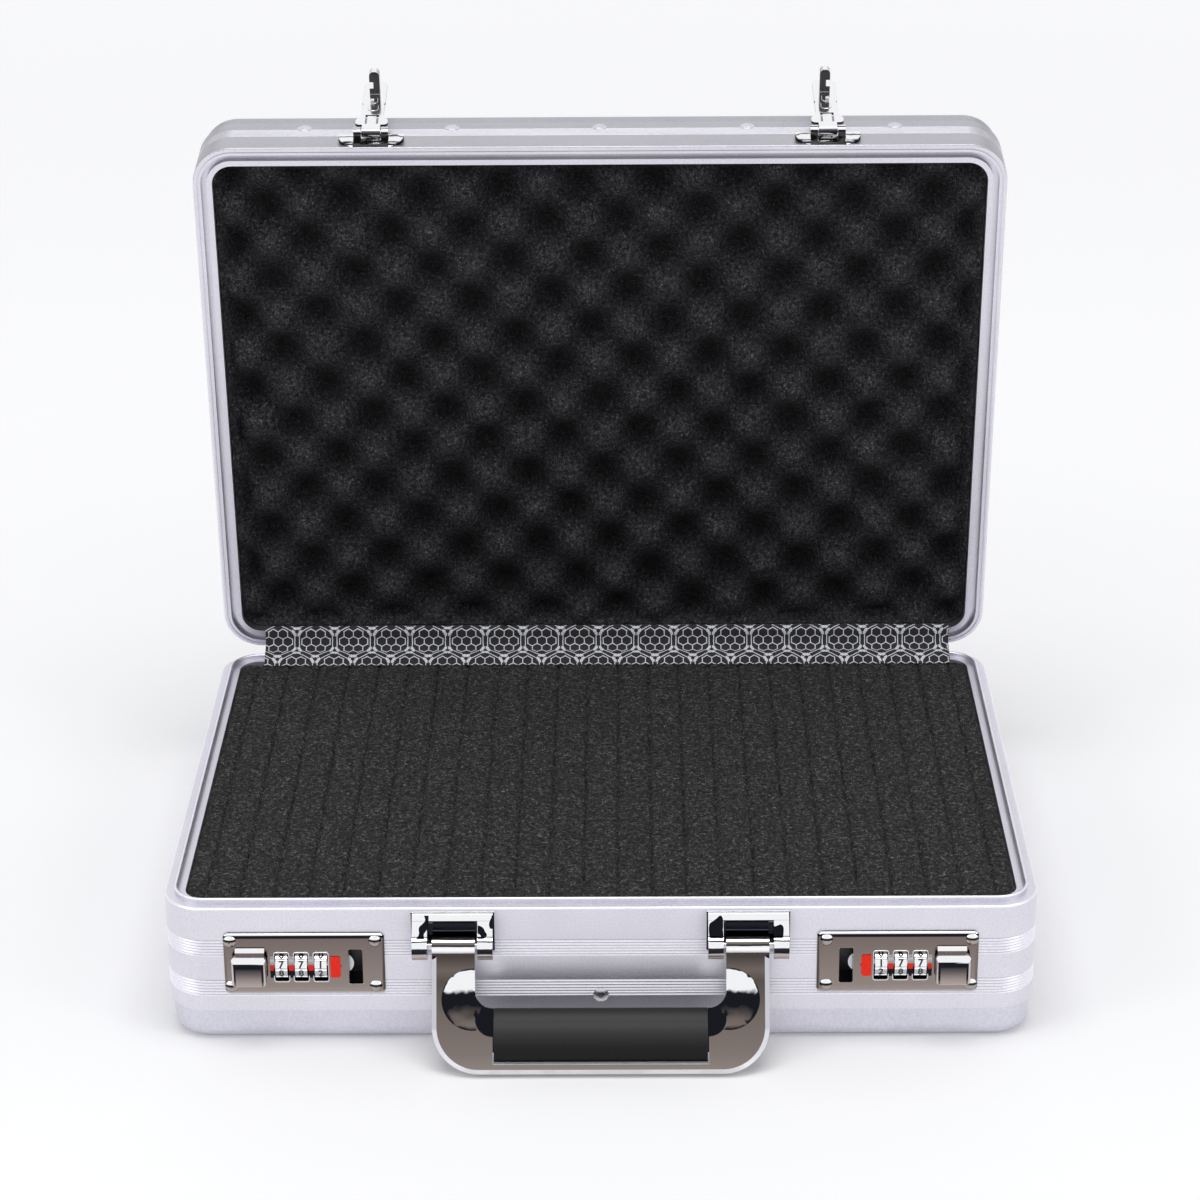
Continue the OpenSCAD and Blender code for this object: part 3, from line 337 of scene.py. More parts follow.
def foam_material(name, deep, body, speck, cell, amount, waves=False):
    """Open-cell foam: dark, with short curled pale strands where cell walls catch light, and painted shade in its
    hollows where the piece has a map of its height."""
    material, n, l, shader = blank(name)
    shader.inputs["Roughness"].default_value = 0.95
    shader.inputs["Specular IOR Level"].default_value = 0.15
    where = n.new("ShaderNodeTexCoord")
    warp = n.new("ShaderNodeTexNoise")
    warp.inputs["Scale"].default_value = 260
    warp.inputs["Detail"].default_value = 2
    shift = n.new("ShaderNodeMixRGB")
    shift.blend_type = "LINEAR_LIGHT"
    shift.inputs[0].default_value = 0.0016
    l.new(where.outputs["Object"], warp.inputs["Vector"])
    l.new(where.outputs["Object"], shift.inputs[1])
    l.new(warp.outputs["Color"], shift.inputs[2])
    strands = n.new("ShaderNodeTexVoronoi")
    strands.feature = "DISTANCE_TO_EDGE"
    strands.inputs["Scale"].default_value = cell
    l.new(shift.outputs[0], strands.inputs["Vector"])
    line = ramp(n, [(0.0, grey(1)), (0.085, grey(0))])
    l.new(strands.outputs["Distance"], line.inputs[0])
    broken = n.new("ShaderNodeTexNoise")
    broken.inputs["Scale"].default_value = cell * 0.9
    broken.inputs["Detail"].default_value = 2
    l.new(where.outputs["Object"], broken.inputs["Vector"])
    gaps = ramp(n, [(0.46, grey(0)), (0.66, grey(1))])
    l.new(broken.outputs["Fac"], gaps.inputs[0])
    pale = math_node(n, l, "MULTIPLY", line.outputs[0], gaps.outputs[0])
    pits = n.new("ShaderNodeTexNoise")
    pits.inputs["Scale"].default_value = 420
    pits.inputs["Detail"].default_value = 3
    l.new(where.outputs["Object"], pits.inputs["Vector"])
    ground = ramp(n, [(0.36, deep), (0.62, body)])
    l.new(pits.outputs["Fac"], ground.inputs[0])
    colour = blended(n, l, math_node(n, l, "MULTIPLY", pale, amount), ground.outputs[0], speck)
    # Painted shade in the hollows, by the map of height
    if waves:
        height, part = n.new("ShaderNodeUVMap"), n.new("ShaderNodeSeparateXYZ")
        height.uv_map = "height"
        l.new(height.outputs[0], part.inputs[0])
        hollow_shade = ramp(n, [(0.05, grey(0.22)), (0.4, grey(0.5)), (0.85, grey(1))])
        l.new(part.outputs["X"], hollow_shade.inputs[0])
        colour = vector_node(n, l, "MULTIPLY", colour, hollow_shade.outputs[0]).outputs[0]
    l.new(colour, shader.inputs["Base Color"])
    bump_from(n, l, pits.outputs["Fac"], shader, 0.7, 0.0006)
    return material


def hex_cells(n, l, source, pitch, shift=(0, 0), swap=False):
    """For a hexagon grid, in the units of source: distances to the nearest side and to the nearest middle."""
    row = pitch * math.sqrt(3)
    cells, middles = [], []
    for move in ((0, 0), (pitch / 2, row / 2)):
        if swap:
            move = move[::-1]
        reach = (row / 2, pitch / 2) if swap else (pitch / 2, row / 2)
        slope = (math.sqrt(3) / 2, 0.5, 0) if swap else (0.5, math.sqrt(3) / 2, 0)
        moved = vector_node(n, l, "ADD", source, (move[0] + shift[0], move[1] + shift[1], 0))
        cell = vector_node(n, l, "WRAP", moved.outputs[0], (*reach, 1), (-reach[0], -reach[1], -1))
        size = vector_node(n, l, "ABSOLUTE", cell.outputs[0])
        split = n.new("ShaderNodeSeparateXYZ")
        l.new(size.outputs[0], split.inputs[0])
        slant = vector_node(n, l, "DOT_PRODUCT", size.outputs[0], slope).outputs["Value"]
        cells.append(math_node(n, l, "MAXIMUM", slant, split.outputs["Y" if swap else "X"]))
        middles.append(vector_node(n, l, "LENGTH", cell.outputs[0]).outputs["Value"])
    side = math_node(n, l, "SUBTRACT", pitch / 2, math_node(n, l, "MINIMUM", *cells))
    return side, math_node(n, l, "MINIMUM", *middles)


def honeycomb_fabric():
    """Black weave printed with a honeycomb: small cells in double outlines, with dots where the outlines meet."""
    material, n, l, shader = blank("honeycomb_fabric")
    shader.inputs["Roughness"].default_value = 0.85
    shader.inputs["Sheen Weight"].default_value = 0.12
    shader.inputs["Sheen Roughness"].default_value = 0.5
    uv = n.new("ShaderNodeUVMap")
    uv.uv_map = "cloth"
    scaled = n.new("ShaderNodeVectorMath")
    scaled.operation = "SCALE"
    scaled.inputs["Scale"].default_value = 1000
    l.new(uv.outputs[0], scaled.inputs[0])
    wobble = n.new("ShaderNodeTexNoise")
    wobble.inputs["Scale"].default_value = 0.5
    wobble.inputs["Detail"].default_value = 1
    moved = n.new("ShaderNodeMixRGB")
    moved.blend_type = "LINEAR_LIGHT"
    moved.inputs[0].default_value = 0.25
    l.new(scaled.outputs[0], wobble.inputs["Vector"])
    l.new(scaled.outputs[0], moved.inputs[1])
    l.new(wobble.outputs["Color"], moved.inputs[2])
    cluster, cell, place = 22.4, 5.6, (3, 2)
    big, _ = hex_cells(n, l, moved.outputs[0], cluster, place)
    small, _ = hex_cells(n, l, moved.outputs[0], cell, place)
    _, corner = hex_cells(n, l, moved.outputs[0], cluster / math.sqrt(3), place, True)
    inside = math_node(n, l, "GREATER_THAN", big, 2.5)
    fine = math_node(n, l, "MULTIPLY", math_node(n, l, "LESS_THAN", small, 0.27), inside)
    outline = math_node(n, l, "COMPARE", big, 1.35, 0.27)
    dot, beside = math_node(n, l, "COMPARE", corner, 2.1, 0.95), math_node(n, l, "COMPARE", big, 1.25, 0.95)
    spot = math_node(n, l, "MULTIPLY", dot, beside)
    lines = math_node(n, l, "MAXIMUM", fine, math_node(n, l, "MAXIMUM", outline, spot))
    thread = n.new("ShaderNodeTexNoise")
    thread.inputs["Scale"].default_value = 3.5
    thread.inputs["Detail"].default_value = 3
    l.new(scaled.outputs[0], thread.inputs["Vector"])
    worn = ramp(n, [(0.3, grey(0.6)), (0.55, grey(1))])
    l.new(thread.outputs["Fac"], worn.inputs[0])
    strength = math_node(n, l, "MULTIPLY", lines, worn.outputs[0])
    l.new(blended(n, l, strength, (0.01, 0.01, 0.013), (0.72, 0.72, 0.76)), shader.inputs["Base Color"])
    weave = n.new("ShaderNodeTexChecker")
    weave.inputs["Scale"].default_value = 2.2
    l.new(scaled.outputs[0], weave.inputs["Vector"])
    bump_from(n, l, weave.outputs["Fac"], shader, 0.35, 0.0001)
    return material


def rubber_like(name, colour, rough, grain, uneven=0.27, gleam=0.4, painted_sheen=None):
    """Rubber or plastic. Optional heights add a painted sheen, a highlight band: a lowest and a highest place in
    metres, and stops between them.
    """
    material, n, l, shader = blank(name)
    shader.inputs["Specular IOR Level"].default_value = gleam
    fine = spot_noise(n, l, grain, 3)
    tint = ramp(n, [(0.3, tuple((1 - uneven) * c for c in colour)), (0.7, tuple((1 + uneven) * c for c in colour))])
    l.new(fine.outputs["Fac"], tint.inputs[0])
    colour = tint.outputs[0]
    # A painted highlight band by height, added to the colour
    if painted_sheen:
        where, place = n.new("ShaderNodeTexCoord"), n.new("ShaderNodeSeparateXYZ")
        l.new(where.outputs["Object"], place.inputs[0])
        colour = vector_node(n, l, "ADD", colour, by_height(n, l, place, *painted_sheen)).outputs[0]
    l.new(colour, shader.inputs["Base Color"])
    polish = ramp(n, [(0.3, grey(rough - 0.05)), (0.7, grey(rough + 0.06))])
    l.new(fine.outputs["Fac"], polish.inputs[0])
    l.new(polish.outputs[0], shader.inputs["Roughness"])
    bump_from(n, l, fine.outputs["Fac"], shader, 0.3, 0.00008)
    return material


# Colours of polished metal, which stand for what it reflects. Stops of a piece's own shape go by the upward part of
# the direction a face points in. Stops of a flat front go by height in metres.
# These colours are painted reflections and painted shade, laid into the base colour of polished metal
WHITE, PAINTED_BLACK, PALE = (0.92, 0.92, 0.94), (0.01, 0.011, 0.015), (0.62, 0.61, 0.66)
BROWN_REFLECTION, PALE_BROWN_REFLECTION, LIT_BROWN_REFLECTION = (0.2, 0.165, 0.15), (0.3, 0.255, 0.235), (0.3, 0.26, 0.24)
# Each list paints a polished part's reflections into its base colour, with painted shade on the dial and between the
# windows
LOCK_PLATE_REFLECTIONS = [
    (-1, LIT_BROWN_REFLECTION), (-0.35, (0.5, 0.46, 0.44)), (-0.12, BROWN_REFLECTION), (0.02, (0.15, 0.122, 0.11)), (0.06, PAINTED_BLACK), (0.44, PAINTED_BLACK),
    (0.5, WHITE), (0.6, WHITE), (0.66, PALE), (0.97, PALE), (1, PAINTED_BLACK)]
LOCK_FRONT_REFLECTIONS = [
    (0.0295, PALE_BROWN_REFLECTION), (0.034, (0.235, 0.195, 0.178)), (0.05, (0.19, 0.156, 0.142)),
    (0.0612, (0.15, 0.122, 0.111)), (0.0615, PAINTED_BLACK), (0.064, PAINTED_BLACK)]
BRIDGE_REFLECTIONS = [
    (-0.45, BROWN_REFLECTION), (-0.32, PAINTED_BLACK), (-0.05, PAINTED_BLACK), (0.02, BROWN_REFLECTION), (0.14, (0.3, 0.27, 0.26)), (0.22, (0.45, 0.43, 0.43)),
    (0.3, BROWN_REFLECTION)]
LUG_REFLECTIONS = [
    (-1, PALE_BROWN_REFLECTION), (-0.2, (0.42, 0.365, 0.34)), (-0.1, PAINTED_BLACK), (0.25, (0.02, 0.022, 0.03)), (0.31, WHITE),
    (0.68, WHITE), (0.7, PAINTED_BLACK), (0.76, PAINTED_BLACK), (0.78, WHITE), (1, WHITE)]
HASP_REFLECTIONS = [
    (-0.3, (0.3, 0.27, 0.26)), (-0.1, PAINTED_BLACK), (0.25, PAINTED_BLACK), (0.34, WHITE), (0.62, WHITE), (0.7, PAINTED_BLACK), (0.82, PAINTED_BLACK),
    (0.86, WHITE), (0.955, WHITE), (0.97, PAINTED_BLACK), (0.985, PAINTED_BLACK), (0.99, WHITE), (1, WHITE)]
LEVER_REFLECTIONS = [
    (-1, (0.35, 0.33, 0.33)), (-0.1, PAINTED_BLACK), (0.2, (0.06, 0.06, 0.07)), (0.45, (0.3, 0.3, 0.33)),
    (0.6, (0.5, 0.5, 0.54)), (0.8, (0.55, 0.55, 0.6)), (0.93, WHITE), (1, WHITE)]
HANDLE_REFLECTIONS = [
    (-0.3, (0.45, 0.43, 0.43)), (-0.1, (0.75, 0.74, 0.77)), (0.2, (0.85, 0.85, 0.88)), (0.22, WHITE), (0.385, WHITE),
    (0.41, PAINTED_BLACK), (0.5, PAINTED_BLACK), (0.6, (0.16, 0.132, 0.12)), (0.7, (0.22, 0.185, 0.17)), (0.82, LIT_BROWN_REFLECTION), (0.86, WHITE),
    (0.93, WHITE), (0.95, PAINTED_BLACK), (0.975, PAINTED_BLACK), (0.98, WHITE)]
HANDLE_FRONT_REFLECTIONS = [
    (0.002, PALE_BROWN_REFLECTION), (0.012, (0.22, 0.185, 0.17)), (0.03, (0.17, 0.14, 0.128)), (0.045, (0.1, 0.082, 0.074)),
    (0.05, (0.16, 0.132, 0.12)), (0.056, (0.07, 0.058, 0.052))]
BUTTON_REFLECTIONS = LOCK_PLATE_REFLECTIONS[:4] + [(0.05, PAINTED_BLACK), (0.3, PAINTED_BLACK), (0.36, WHITE), (0.9, WHITE)]
BUTTON_FACE_REFLECTIONS = [
    (0.0368, (0.38, 0.32, 0.3)), (0.0405, (0.27, 0.225, 0.21)), (0.0445, (0.11, 0.095, 0.092)),
    (0.0475, (0.02, 0.021, 0.03)), (0.0532, (0.01, 0.012, 0.02))]
SCREW_REFLECTIONS = [
    (-1, LIT_BROWN_REFLECTION), (-0.05, (0.34, 0.3, 0.28)), (0.08, (0.1, 0.09, 0.085)), (0.14, PAINTED_BLACK), (0.3, PAINTED_BLACK), (0.36, WHITE),
    (0.9, WHITE)]
DIAL_SHADE_AND_REFLECTIONS = [
    (-0.7, (0.05, 0.05, 0.055)), (-0.45, (0.3, 0.3, 0.31)), (-0.2, (0.5, 0.5, 0.52)), (-0.1, WHITE), (0.6, WHITE),
    (0.66, (0.3, 0.3, 0.31)), (0.8, WHITE), (0.9, (0.2, 0.2, 0.21))]
RIM_REFLECTIONS = [
    (-1, (0.75, 0.75, 0.77)), (-0.4, WHITE), (-0.1, (0.5, 0.48, 0.47)), (0.3, (0.6, 0.6, 0.62)), (0.6, WHITE)]

# Painted shade and painted highlight for the ribbed frames and the lid, as factors by the upward part, and the grip's
# painted sheen by its share of the way up
RIB_PAINTED_SHADING = [(-0.7, 0.5), (-0.2, 0.62), (-0.04, 1), (0.08, 1), (0.25, 1.3), (0.8, 1.3), (0.97, 1.25)]
LID_PAINTED_SHADING = [(-0.7, 0.8), (-0.1, 1), (0.2, 1), (0.4, 0.6), (0.88, 0.56), (0.97, 0.7), (1, 0.72)]
GRIP_PAINTED_SHEEN = [
    (0.05, grey(0)), (0.35, grey(0.006)), (0.6, grey(0.028)), (0.74, grey(0.052)), (0.88, grey(0.02)),
    (1, grey(0.004))]

# Planes of flat fronts, as a direction and a distance in metres
LEAN = math.radians(27)
PLATE_PLANE = ((0, -1, 0), PLATE_FRONT * MM)
BUTTON_PLANE = ((0, -1, 0), BUTTON_FRONT * MM)
HANDLE_PLANE = ((0, -math.cos(LEAN), math.sin(LEAN)),
                (PIVOT_Y * math.cos(LEAN) + PIVOT_Z * math.sin(LEAN) + HANDLE_T / 2) * MM)

# The lid's frame and panel are lighter copies of the base's aluminium: painted light and shade
finish = {
    "frame": satin_aluminium("frame_aluminium", (0.56, 0.552, 0.612), (0.69, 0.682, 0.742), 0.42, painted_shading=RIB_PAINTED_SHADING),
    "lid_frame": satin_aluminium("lid_frame_aluminium", (0.6, 0.592, 0.655), (0.74, 0.732, 0.79), 0.4,
                                 painted_shading=LID_PAINTED_SHADING),
    "panel": satin_aluminium("panel_aluminium", (0.52, 0.515, 0.58), (0.66, 0.655, 0.72), 0.48, 650),
    "lid_panel": satin_aluminium("lid_panel_aluminium", (0.56, 0.555, 0.62), (0.7, 0.695, 0.76), 0.45, 650,
                                 LID_PAINTED_SHADING),
    "rivet": satin_aluminium("rivet_aluminium", (0.6, 0.6, 0.65), (0.72, 0.72, 0.78), 0.28),
    "plate": polished("lock_plate_chrome", LOCK_PLATE_REFLECTIONS, 0.1, plane=PLATE_PLANE, flat_reflections=LOCK_FRONT_REFLECTIONS, proud_reflections=BRIDGE_REFLECTIONS,
                      reflection_wobble=0.0),
    "button": polished("button_chrome", BUTTON_REFLECTIONS, 0.07, side_reflection=(0.5, 0.47, 0.46), plane=BUTTON_PLANE,
                       flat_reflections=BUTTON_FACE_REFLECTIONS, reflection_wobble=0.0),
    "lug": polished("bracket_chrome", LUG_REFLECTIONS, 0.05, dark_reflection_patches=(0.0655, 0.0752)),
    "screw": polished("screw_chrome", SCREW_REFLECTIONS, 0.06),
    "hasp": polished("hasp_chrome", HASP_REFLECTIONS, 0.06),
    "lever": polished("lever_chrome", LEVER_REFLECTIONS, 0.06),
    "handle": polished("handle_chrome", HANDLE_REFLECTIONS, 0.06, side_reflection=(0.6, 0.6, 0.65), plane=HANDLE_PLANE,
                       flat_reflections=HANDLE_FRONT_REFLECTIONS),
    "trim": polished("window_trim", RIM_REFLECTIONS, 0.12),
    "steel": satin_aluminium("hinge_steel", (0.42, 0.42, 0.45), (0.56, 0.56, 0.6), 0.3),
    "pin": satin_aluminium("turned_steel", (0.5, 0.5, 0.52), (0.62, 0.62, 0.65), 0.22),
    "dark": satin_aluminium("lock_steel", (0.06, 0.06, 0.065), (0.11, 0.11, 0.12), 0.45),
    "dial": polished("dial_metal", DIAL_SHADE_AND_REFLECTIONS, 0.16),
    "ink": rubber_like("number_ink", (0.012, 0.012, 0.014), 0.4, 2500),
    "red": rubber_like("red_enamel", (0.86, 0.018, 0.003), 0.5, 400, uneven=0.08, gleam=0.25),
    "rubber": rubber_like("foot_rubber", (0.022, 0.022, 0.024), 0.6, 900),
    "grip": rubber_like("grip_plastic", (0.005, 0.005, 0.006), 0.33, 1100, gleam=0.12,
                        painted_sheen=(0.008, 0.034, GRIP_PAINTED_SHEEN)),
}
foam_black = foam_material("cubed_foam", (0.011, 0.0108, 0.011), (0.03, 0.0295, 0.03), (0.27, 0.265, 0.265),
                           cell=560, amount=0.75)
foam_wave = foam_material("wavy_foam", (0.009, 0.009, 0.0105), (0.03, 0.03, 0.034), (0.26, 0.26, 0.28),
                          cell=680, amount=0.6, waves=True)


# Pieces

def dressed(node, material):
    """Puts a material on a CAD node whose shape is right."""
    mesh = nodes[node].data
    mesh.materials.clear()
    mesh.materials.append(finish[material])


def only(obj):
    bpy.ops.object.select_all(action="DESELECT")
    obj.select_set(True)
    bpy.context.view_layer.objects.active = obj


def eased(node, material, body, width=0.25, segments=2, angle=34, smooth=35):
    """A merged copy of a CAD node with its sharp edges rounded off, in place of the node."""
    obj = bpy.data.objects.new(node + "_finished", nodes[node].data.copy())
    bpy.context.scene.collection.objects.link(obj)
    only(obj)
    bpy.ops.object.mode_set(mode="EDIT")
    bpy.ops.mesh.select_all(action="SELECT")
    bpy.ops.mesh.remove_doubles(threshold=1e-6)
    bpy.ops.mesh.dissolve_limited(angle_limit=math.radians(0.6))
    bpy.ops.object.mode_set(mode="OBJECT")
    if width:
        bevel = obj.modifiers.new("edges", "BEVEL")
        bevel.width, bevel.segments, bevel.limit_method = width * MM, segments, "ANGLE"
        bevel.angle_limit, bevel.harden_normals = math.radians(angle), False
        bpy.ops.object.modifier_apply(modifier="edges")
    bpy.ops.object.shade_smooth_by_angle(angle=math.radians(smooth))
    flats = obj.modifiers.new("flats", "WEIGHTED_NORMAL")
    flats.keep_sharp = True
    bpy.ops.object.modifier_apply(modifier="flats")
    obj.data.materials.clear()
    obj.data.materials.append(finish[material])
    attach(obj, body)
    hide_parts(node)
    return obj


def grid_mesh(name, rows, columns, points, faces_extra=()):
    """A mesh piece from rows x columns points, top first, with more faces given by index."""
    a = np.arange(rows * columns).reshape(rows, columns)
    quads = np.stack([a[:-1, :-1], a[:-1, 1:], a[1:, 1:], a[1:, :-1]], -1).reshape(-1, 4)
    mesh = bpy.data.meshes.new(name)
    mesh.from_pydata([tuple(p) for p in points], [], [tuple(int(i) for i in q) for q in quads] + list(faces_extra))
    obj = bpy.data.objects.new(name, mesh)
    bpy.context.scene.collection.objects.link(obj)
    return obj


def in_corner(x, y, w, d, r):
    """Points of a rectangle pulled in to its rounded corners."""
    cx, cy = w / 2 - r, d / 2 - r
    ox, oy = np.maximum(np.abs(x) - cx, 0), np.maximum(np.abs(y) - cy, 0)
    k = np.maximum(np.hypot(ox, oy) / r, 1)
    return np.sign(x) * (np.minimum(np.abs(x), cx) + ox / k), np.sign(y) * (np.minimum(np.abs(y), cy) + oy / k)


def closed_block(name, top, bottom_z, rows, columns, turn=None):
    """A closed piece from a grid of top points: walls down to bottom_z and a flat back. Points in millimetres."""
    bottom = top.copy()
    bottom[:, 2] = bottom_z
    a = np.arange(rows * columns).reshape(rows, columns)
    edge = np.concatenate([a[0, :], a[1:, -1], a[-1, -2::-1], a[-2:0:-1, 0]])
    count = len(edge)
    points = np.vstack([top, bottom[edge]])
    n = rows * columns
    flip = bottom_z > top[:, 2].mean()
    faces = []
    for k in range(count):
        p, q = int(edge[k]), int(edge[(k + 1) % count])
        side = (p, n + k, n + (k + 1) % count, q)
        faces.append(side[::-1] if flip else side)
    back = tuple(n + k for k in range(count))
    faces.append(back if flip else back[::-1])
    if turn:
        points = turn(points)
    obj = grid_mesh(name, rows, columns, points * MM, faces)
    only(obj)
    bpy.ops.object.mode_set(mode="EDIT")
    bpy.ops.mesh.select_all(action="SELECT")
    bpy.ops.mesh.normals_make_consistent(inside=False)
    bpy.ops.object.mode_set(mode="OBJECT")
    return obj


def roughened(points, height, scale, seed):
    """Small uneven heights like the skin of open-cell foam."""
    shift = Vector((seed, seed * 0.37, seed * 0.71))
    return np.array([height * noise.noise(Vector((x * scale, y * scale, 0)) + shift) for x, y in points])


def foam_outline(gap):
    """Width, depth and corner radius of foam that has a gap to the frame."""
    inset = RIM_W + gap
    return CASE_W - 2 * inset, CASE_D - 2 * inset, CORNER_R - inset


def notch(obj, centre, size):
    """Cuts room for a lock housing out of the foam, at a centre and with a size in millimetres."""
    bpy.ops.object.select_all(action="DESELECT")
    bpy.ops.mesh.primitive_cube_add(size=1)
    room = bpy.context.object
    room.data.transform(Matrix.Translation([c * MM for c in centre]) @ Matrix.Diagonal([v * MM for v in size] + [1]))
    only(obj)
    cut = obj.modifiers.new("room", "BOOLEAN")
    cut.object, cut.operation, cut.solver = room, "DIFFERENCE", "EXACT"
    bpy.ops.object.modifier_apply(modifier="room")
    bpy.data.objects.remove(room)


def base_foam_piece():
    """Cubed foam: a flat block with torn cuts from front to back, and room for the lock housings."""
    w, d, r = foam_outline(FOAM_GAP)
    half = int(w / PLUCK / 2)
    cuts = [(i + 0.5) * PLUCK for i in range(-half - 1, half + 1)]
    steps = [0, 0.35, 0.8, 1.8, 3.4, 5.2, 7.0, 8.85, 10.7, 12.5, 14.3, 15.9, 16.9, 17.35]
    xs = sorted({round(c + s, 3) for c in cuts for s in steps if abs(c + s) < w / 2 - 0.4} | {-w / 2, w / 2})
    ys = list(np.linspace(-d / 2, d / 2, 172))
    gx, gy = np.meshgrid(xs, ys)
    x, y = gx.ravel(), gy.ravel()
    # Distance to the nearest cut, that cut's number, its wander, and the beads of its torn edge
    nearest = np.round(x / PLUCK - 0.5)
    off = np.abs((x / PLUCK - 0.5) - nearest) * PLUCK
    wander = roughened(np.column_stack([nearest * 40, y]), 1.0, 0.11, 3.3)
    bead = 0.55 + 0.45 * np.sin(2 * math.pi * y / 6.1 + 2.2 * nearest + 3 * wander)
    groove = np.exp(-((off / (0.7 + 0.3 * bead)) ** 2)) * (0.85 + 1.1 * bead)
    crown = 0.25 * np.cos(math.pi * np.clip(off / PLUCK - 0.5, -0.5, 0.5))
    rim = np.minimum(np.minimum(w / 2 - np.abs(x), d / 2 - np.abs(y)), 3) / 3
    z = FOAM_TOP - 0.45 + crown - groove + roughened(np.column_stack([x, y]), 0.35, 0.45, 1.7)
    z = z - 0.7 * (1 - np.sqrt(np.clip(1 - (1 - rim) ** 2, 0, 1)))
    px, py = in_corner(x, y, w, d, r)
    px = px + 0.35 * wander * np.exp(-((off / 2.5) ** 2)) * (np.abs(x) < w / 2 - 3)
    top = np.column_stack([px, py, np.minimum(z, FOAM_TOP)])
    obj = closed_block("base_foam_block", top, PAD_TOP, len(ys), len(xs))
    for s in (-1, 1):
        notch(obj, (s * 152.75, -151.75, 44.2), (74.5, 17.5, 27.2))
    soft_finish(obj, foam_black, "base", ["base_foam"])


def foam_pad_piece():
    """Flat pad under the cubed foam."""
    w, d, r = foam_outline(2)
    gx, gy = np.meshgrid(np.linspace(-w / 2, w / 2, 60), np.linspace(-d / 2, d / 2, 42))
    x, y = gx.ravel(), gy.ravel()
    z = 9.1 + roughened(np.column_stack([x, y]), 0.15, 0.1, 5.1)
    px, py = in_corner(x, y, w, d, r)
    obj = closed_block("base_foam_pad_block", np.column_stack([px, py, z]), 1.3, 42, 60)
    soft_finish(obj, foam_black, "base", ["base_foam_pad"])


def wavy_height(x, y):
    """Height of the wavy foam's face above its hollows."""
    turn, across, up = math.radians(-4.3), 43.6, 45.8
    dx, dy = x + 4.9, y + 44.2
    u, v = dx * math.cos(turn) + dy * math.sin(turn), dy * math.cos(turn) - dx * math.sin(turn)
    wave = 0.5 - 0.5 * np.cos(2 * math.pi * u / across) * np.cos(2 * math.pi * v / up)
    return WAVE_DEEP * wave


def lid_foam_piece():
    """Wavy foam of the lid, modelled on the closed lid and turned open, with a map of its height."""
    w, d, r = foam_outline(FOAM_GAP)
    columns, rows = 270, 188
    gx, gy = np.meshgrid(np.linspace(-w / 2, w / 2, columns), np.linspace(-d / 2, d / 2, rows))
    x, y = gx.ravel(), gy.ravel()
    plan = np.column_stack([x, y])
    px, py = in_corner(x, y, w, d, r)
    drift = roughened(plan, 3.0, 0.02, 9.2), roughened(plan, 3.0, 0.02, 4.6)
    height = wavy_height(px + drift[0], py + drift[1])
    height = height + roughened(plan, 0.8, 0.05, 2.9) + roughened(plan, 0.3, 0.4, 8.3)
    edge = np.minimum(w / 2 - np.abs(x), d / 2 - np.abs(y))
    height = np.maximum(height, 11 * np.exp(-((edge / 6) ** 2)) + roughened(plan, 0.8, 0.2, 6.1))
    z = BASE_H + 3 + WAVE_DEEP - np.minimum(height, WAVE_DEEP)
    top = np.column_stack([px, py, z])
    obj = closed_block("lid_foam_wave", top, BASE_H + LID_H - 1.4, rows, columns, closed_to_open)
    # The map of height sets the foam's painted shade in its hollows
    layer = obj.data.uv_layers.new(name="height")
    share = list(np.minimum(height / WAVE_DEEP, 1))
    for loop in obj.data.loops:
        i = loop.vertex_index
        layer.data[loop.index].uv = (share[i] if i < len(share) else 0.3, 0)
    soft_finish(obj, foam_wave, "lid", ["lid_foam"])


def settle(obj, body, material):
    """Applies a new piece's place and gives it its body and finish."""
    only(obj)
    bpy.ops.object.transform_apply(location=True, rotation=True, scale=True)
    obj.data.materials.clear()
    obj.data.materials.append(finish[material])
    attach(obj, body)


def dial_numbers(side, index, shown):
    """The ten plain numbers of a dial, one on each flat, with the shown one on the flat above the line."""
    x = (-1 if side == "left" else 1) * (WINDOW_X + WINDOW_PITCH * (index - 1)) * MM
    axis = Vector((x, -DIAL_Y * MM, WINDOW_Z * MM))
    digits = []
    for k in range(10):
        up = math.radians(18 + 36 * k)
        out = Vector((0, -math.cos(up), math.sin(up)))
        bpy.ops.object.select_all(action="DESELECT")
        bpy.ops.object.text_add()
        digit = bpy.context.object
        digit.data.body = str((shown - k) % 10)
        digit.data.size, digit.data.extrude, digit.data.resolution_u = DIGIT * MM, 0.035 * MM, 3
        digit.data.offset = 0.17 * MM
        digit.data.align_x, digit.data.align_y = "CENTER", "CENTER"
        bpy.ops.object.convert(target="MESH")
        turn = Matrix((Vector((1, 0, 0)), Vector((0, math.sin(up), math.cos(up))), out)).transposed().to_4x4()
        digit.data.transform(Matrix.Translation(axis + out * DIAL_FLAT * MM) @ turn)
        digits.append(digit)
    bpy.ops.object.select_all(action="DESELECT")
    for digit in digits:
        digit.select_set(True)
    bpy.context.view_layer.objects.active = digits[0]
    bpy.ops.object.join()
    digits[0].name = f"dial_numbers_{side}_{index}"
    settle(digits[0], f"wheel_{side}_{index}", "ink")


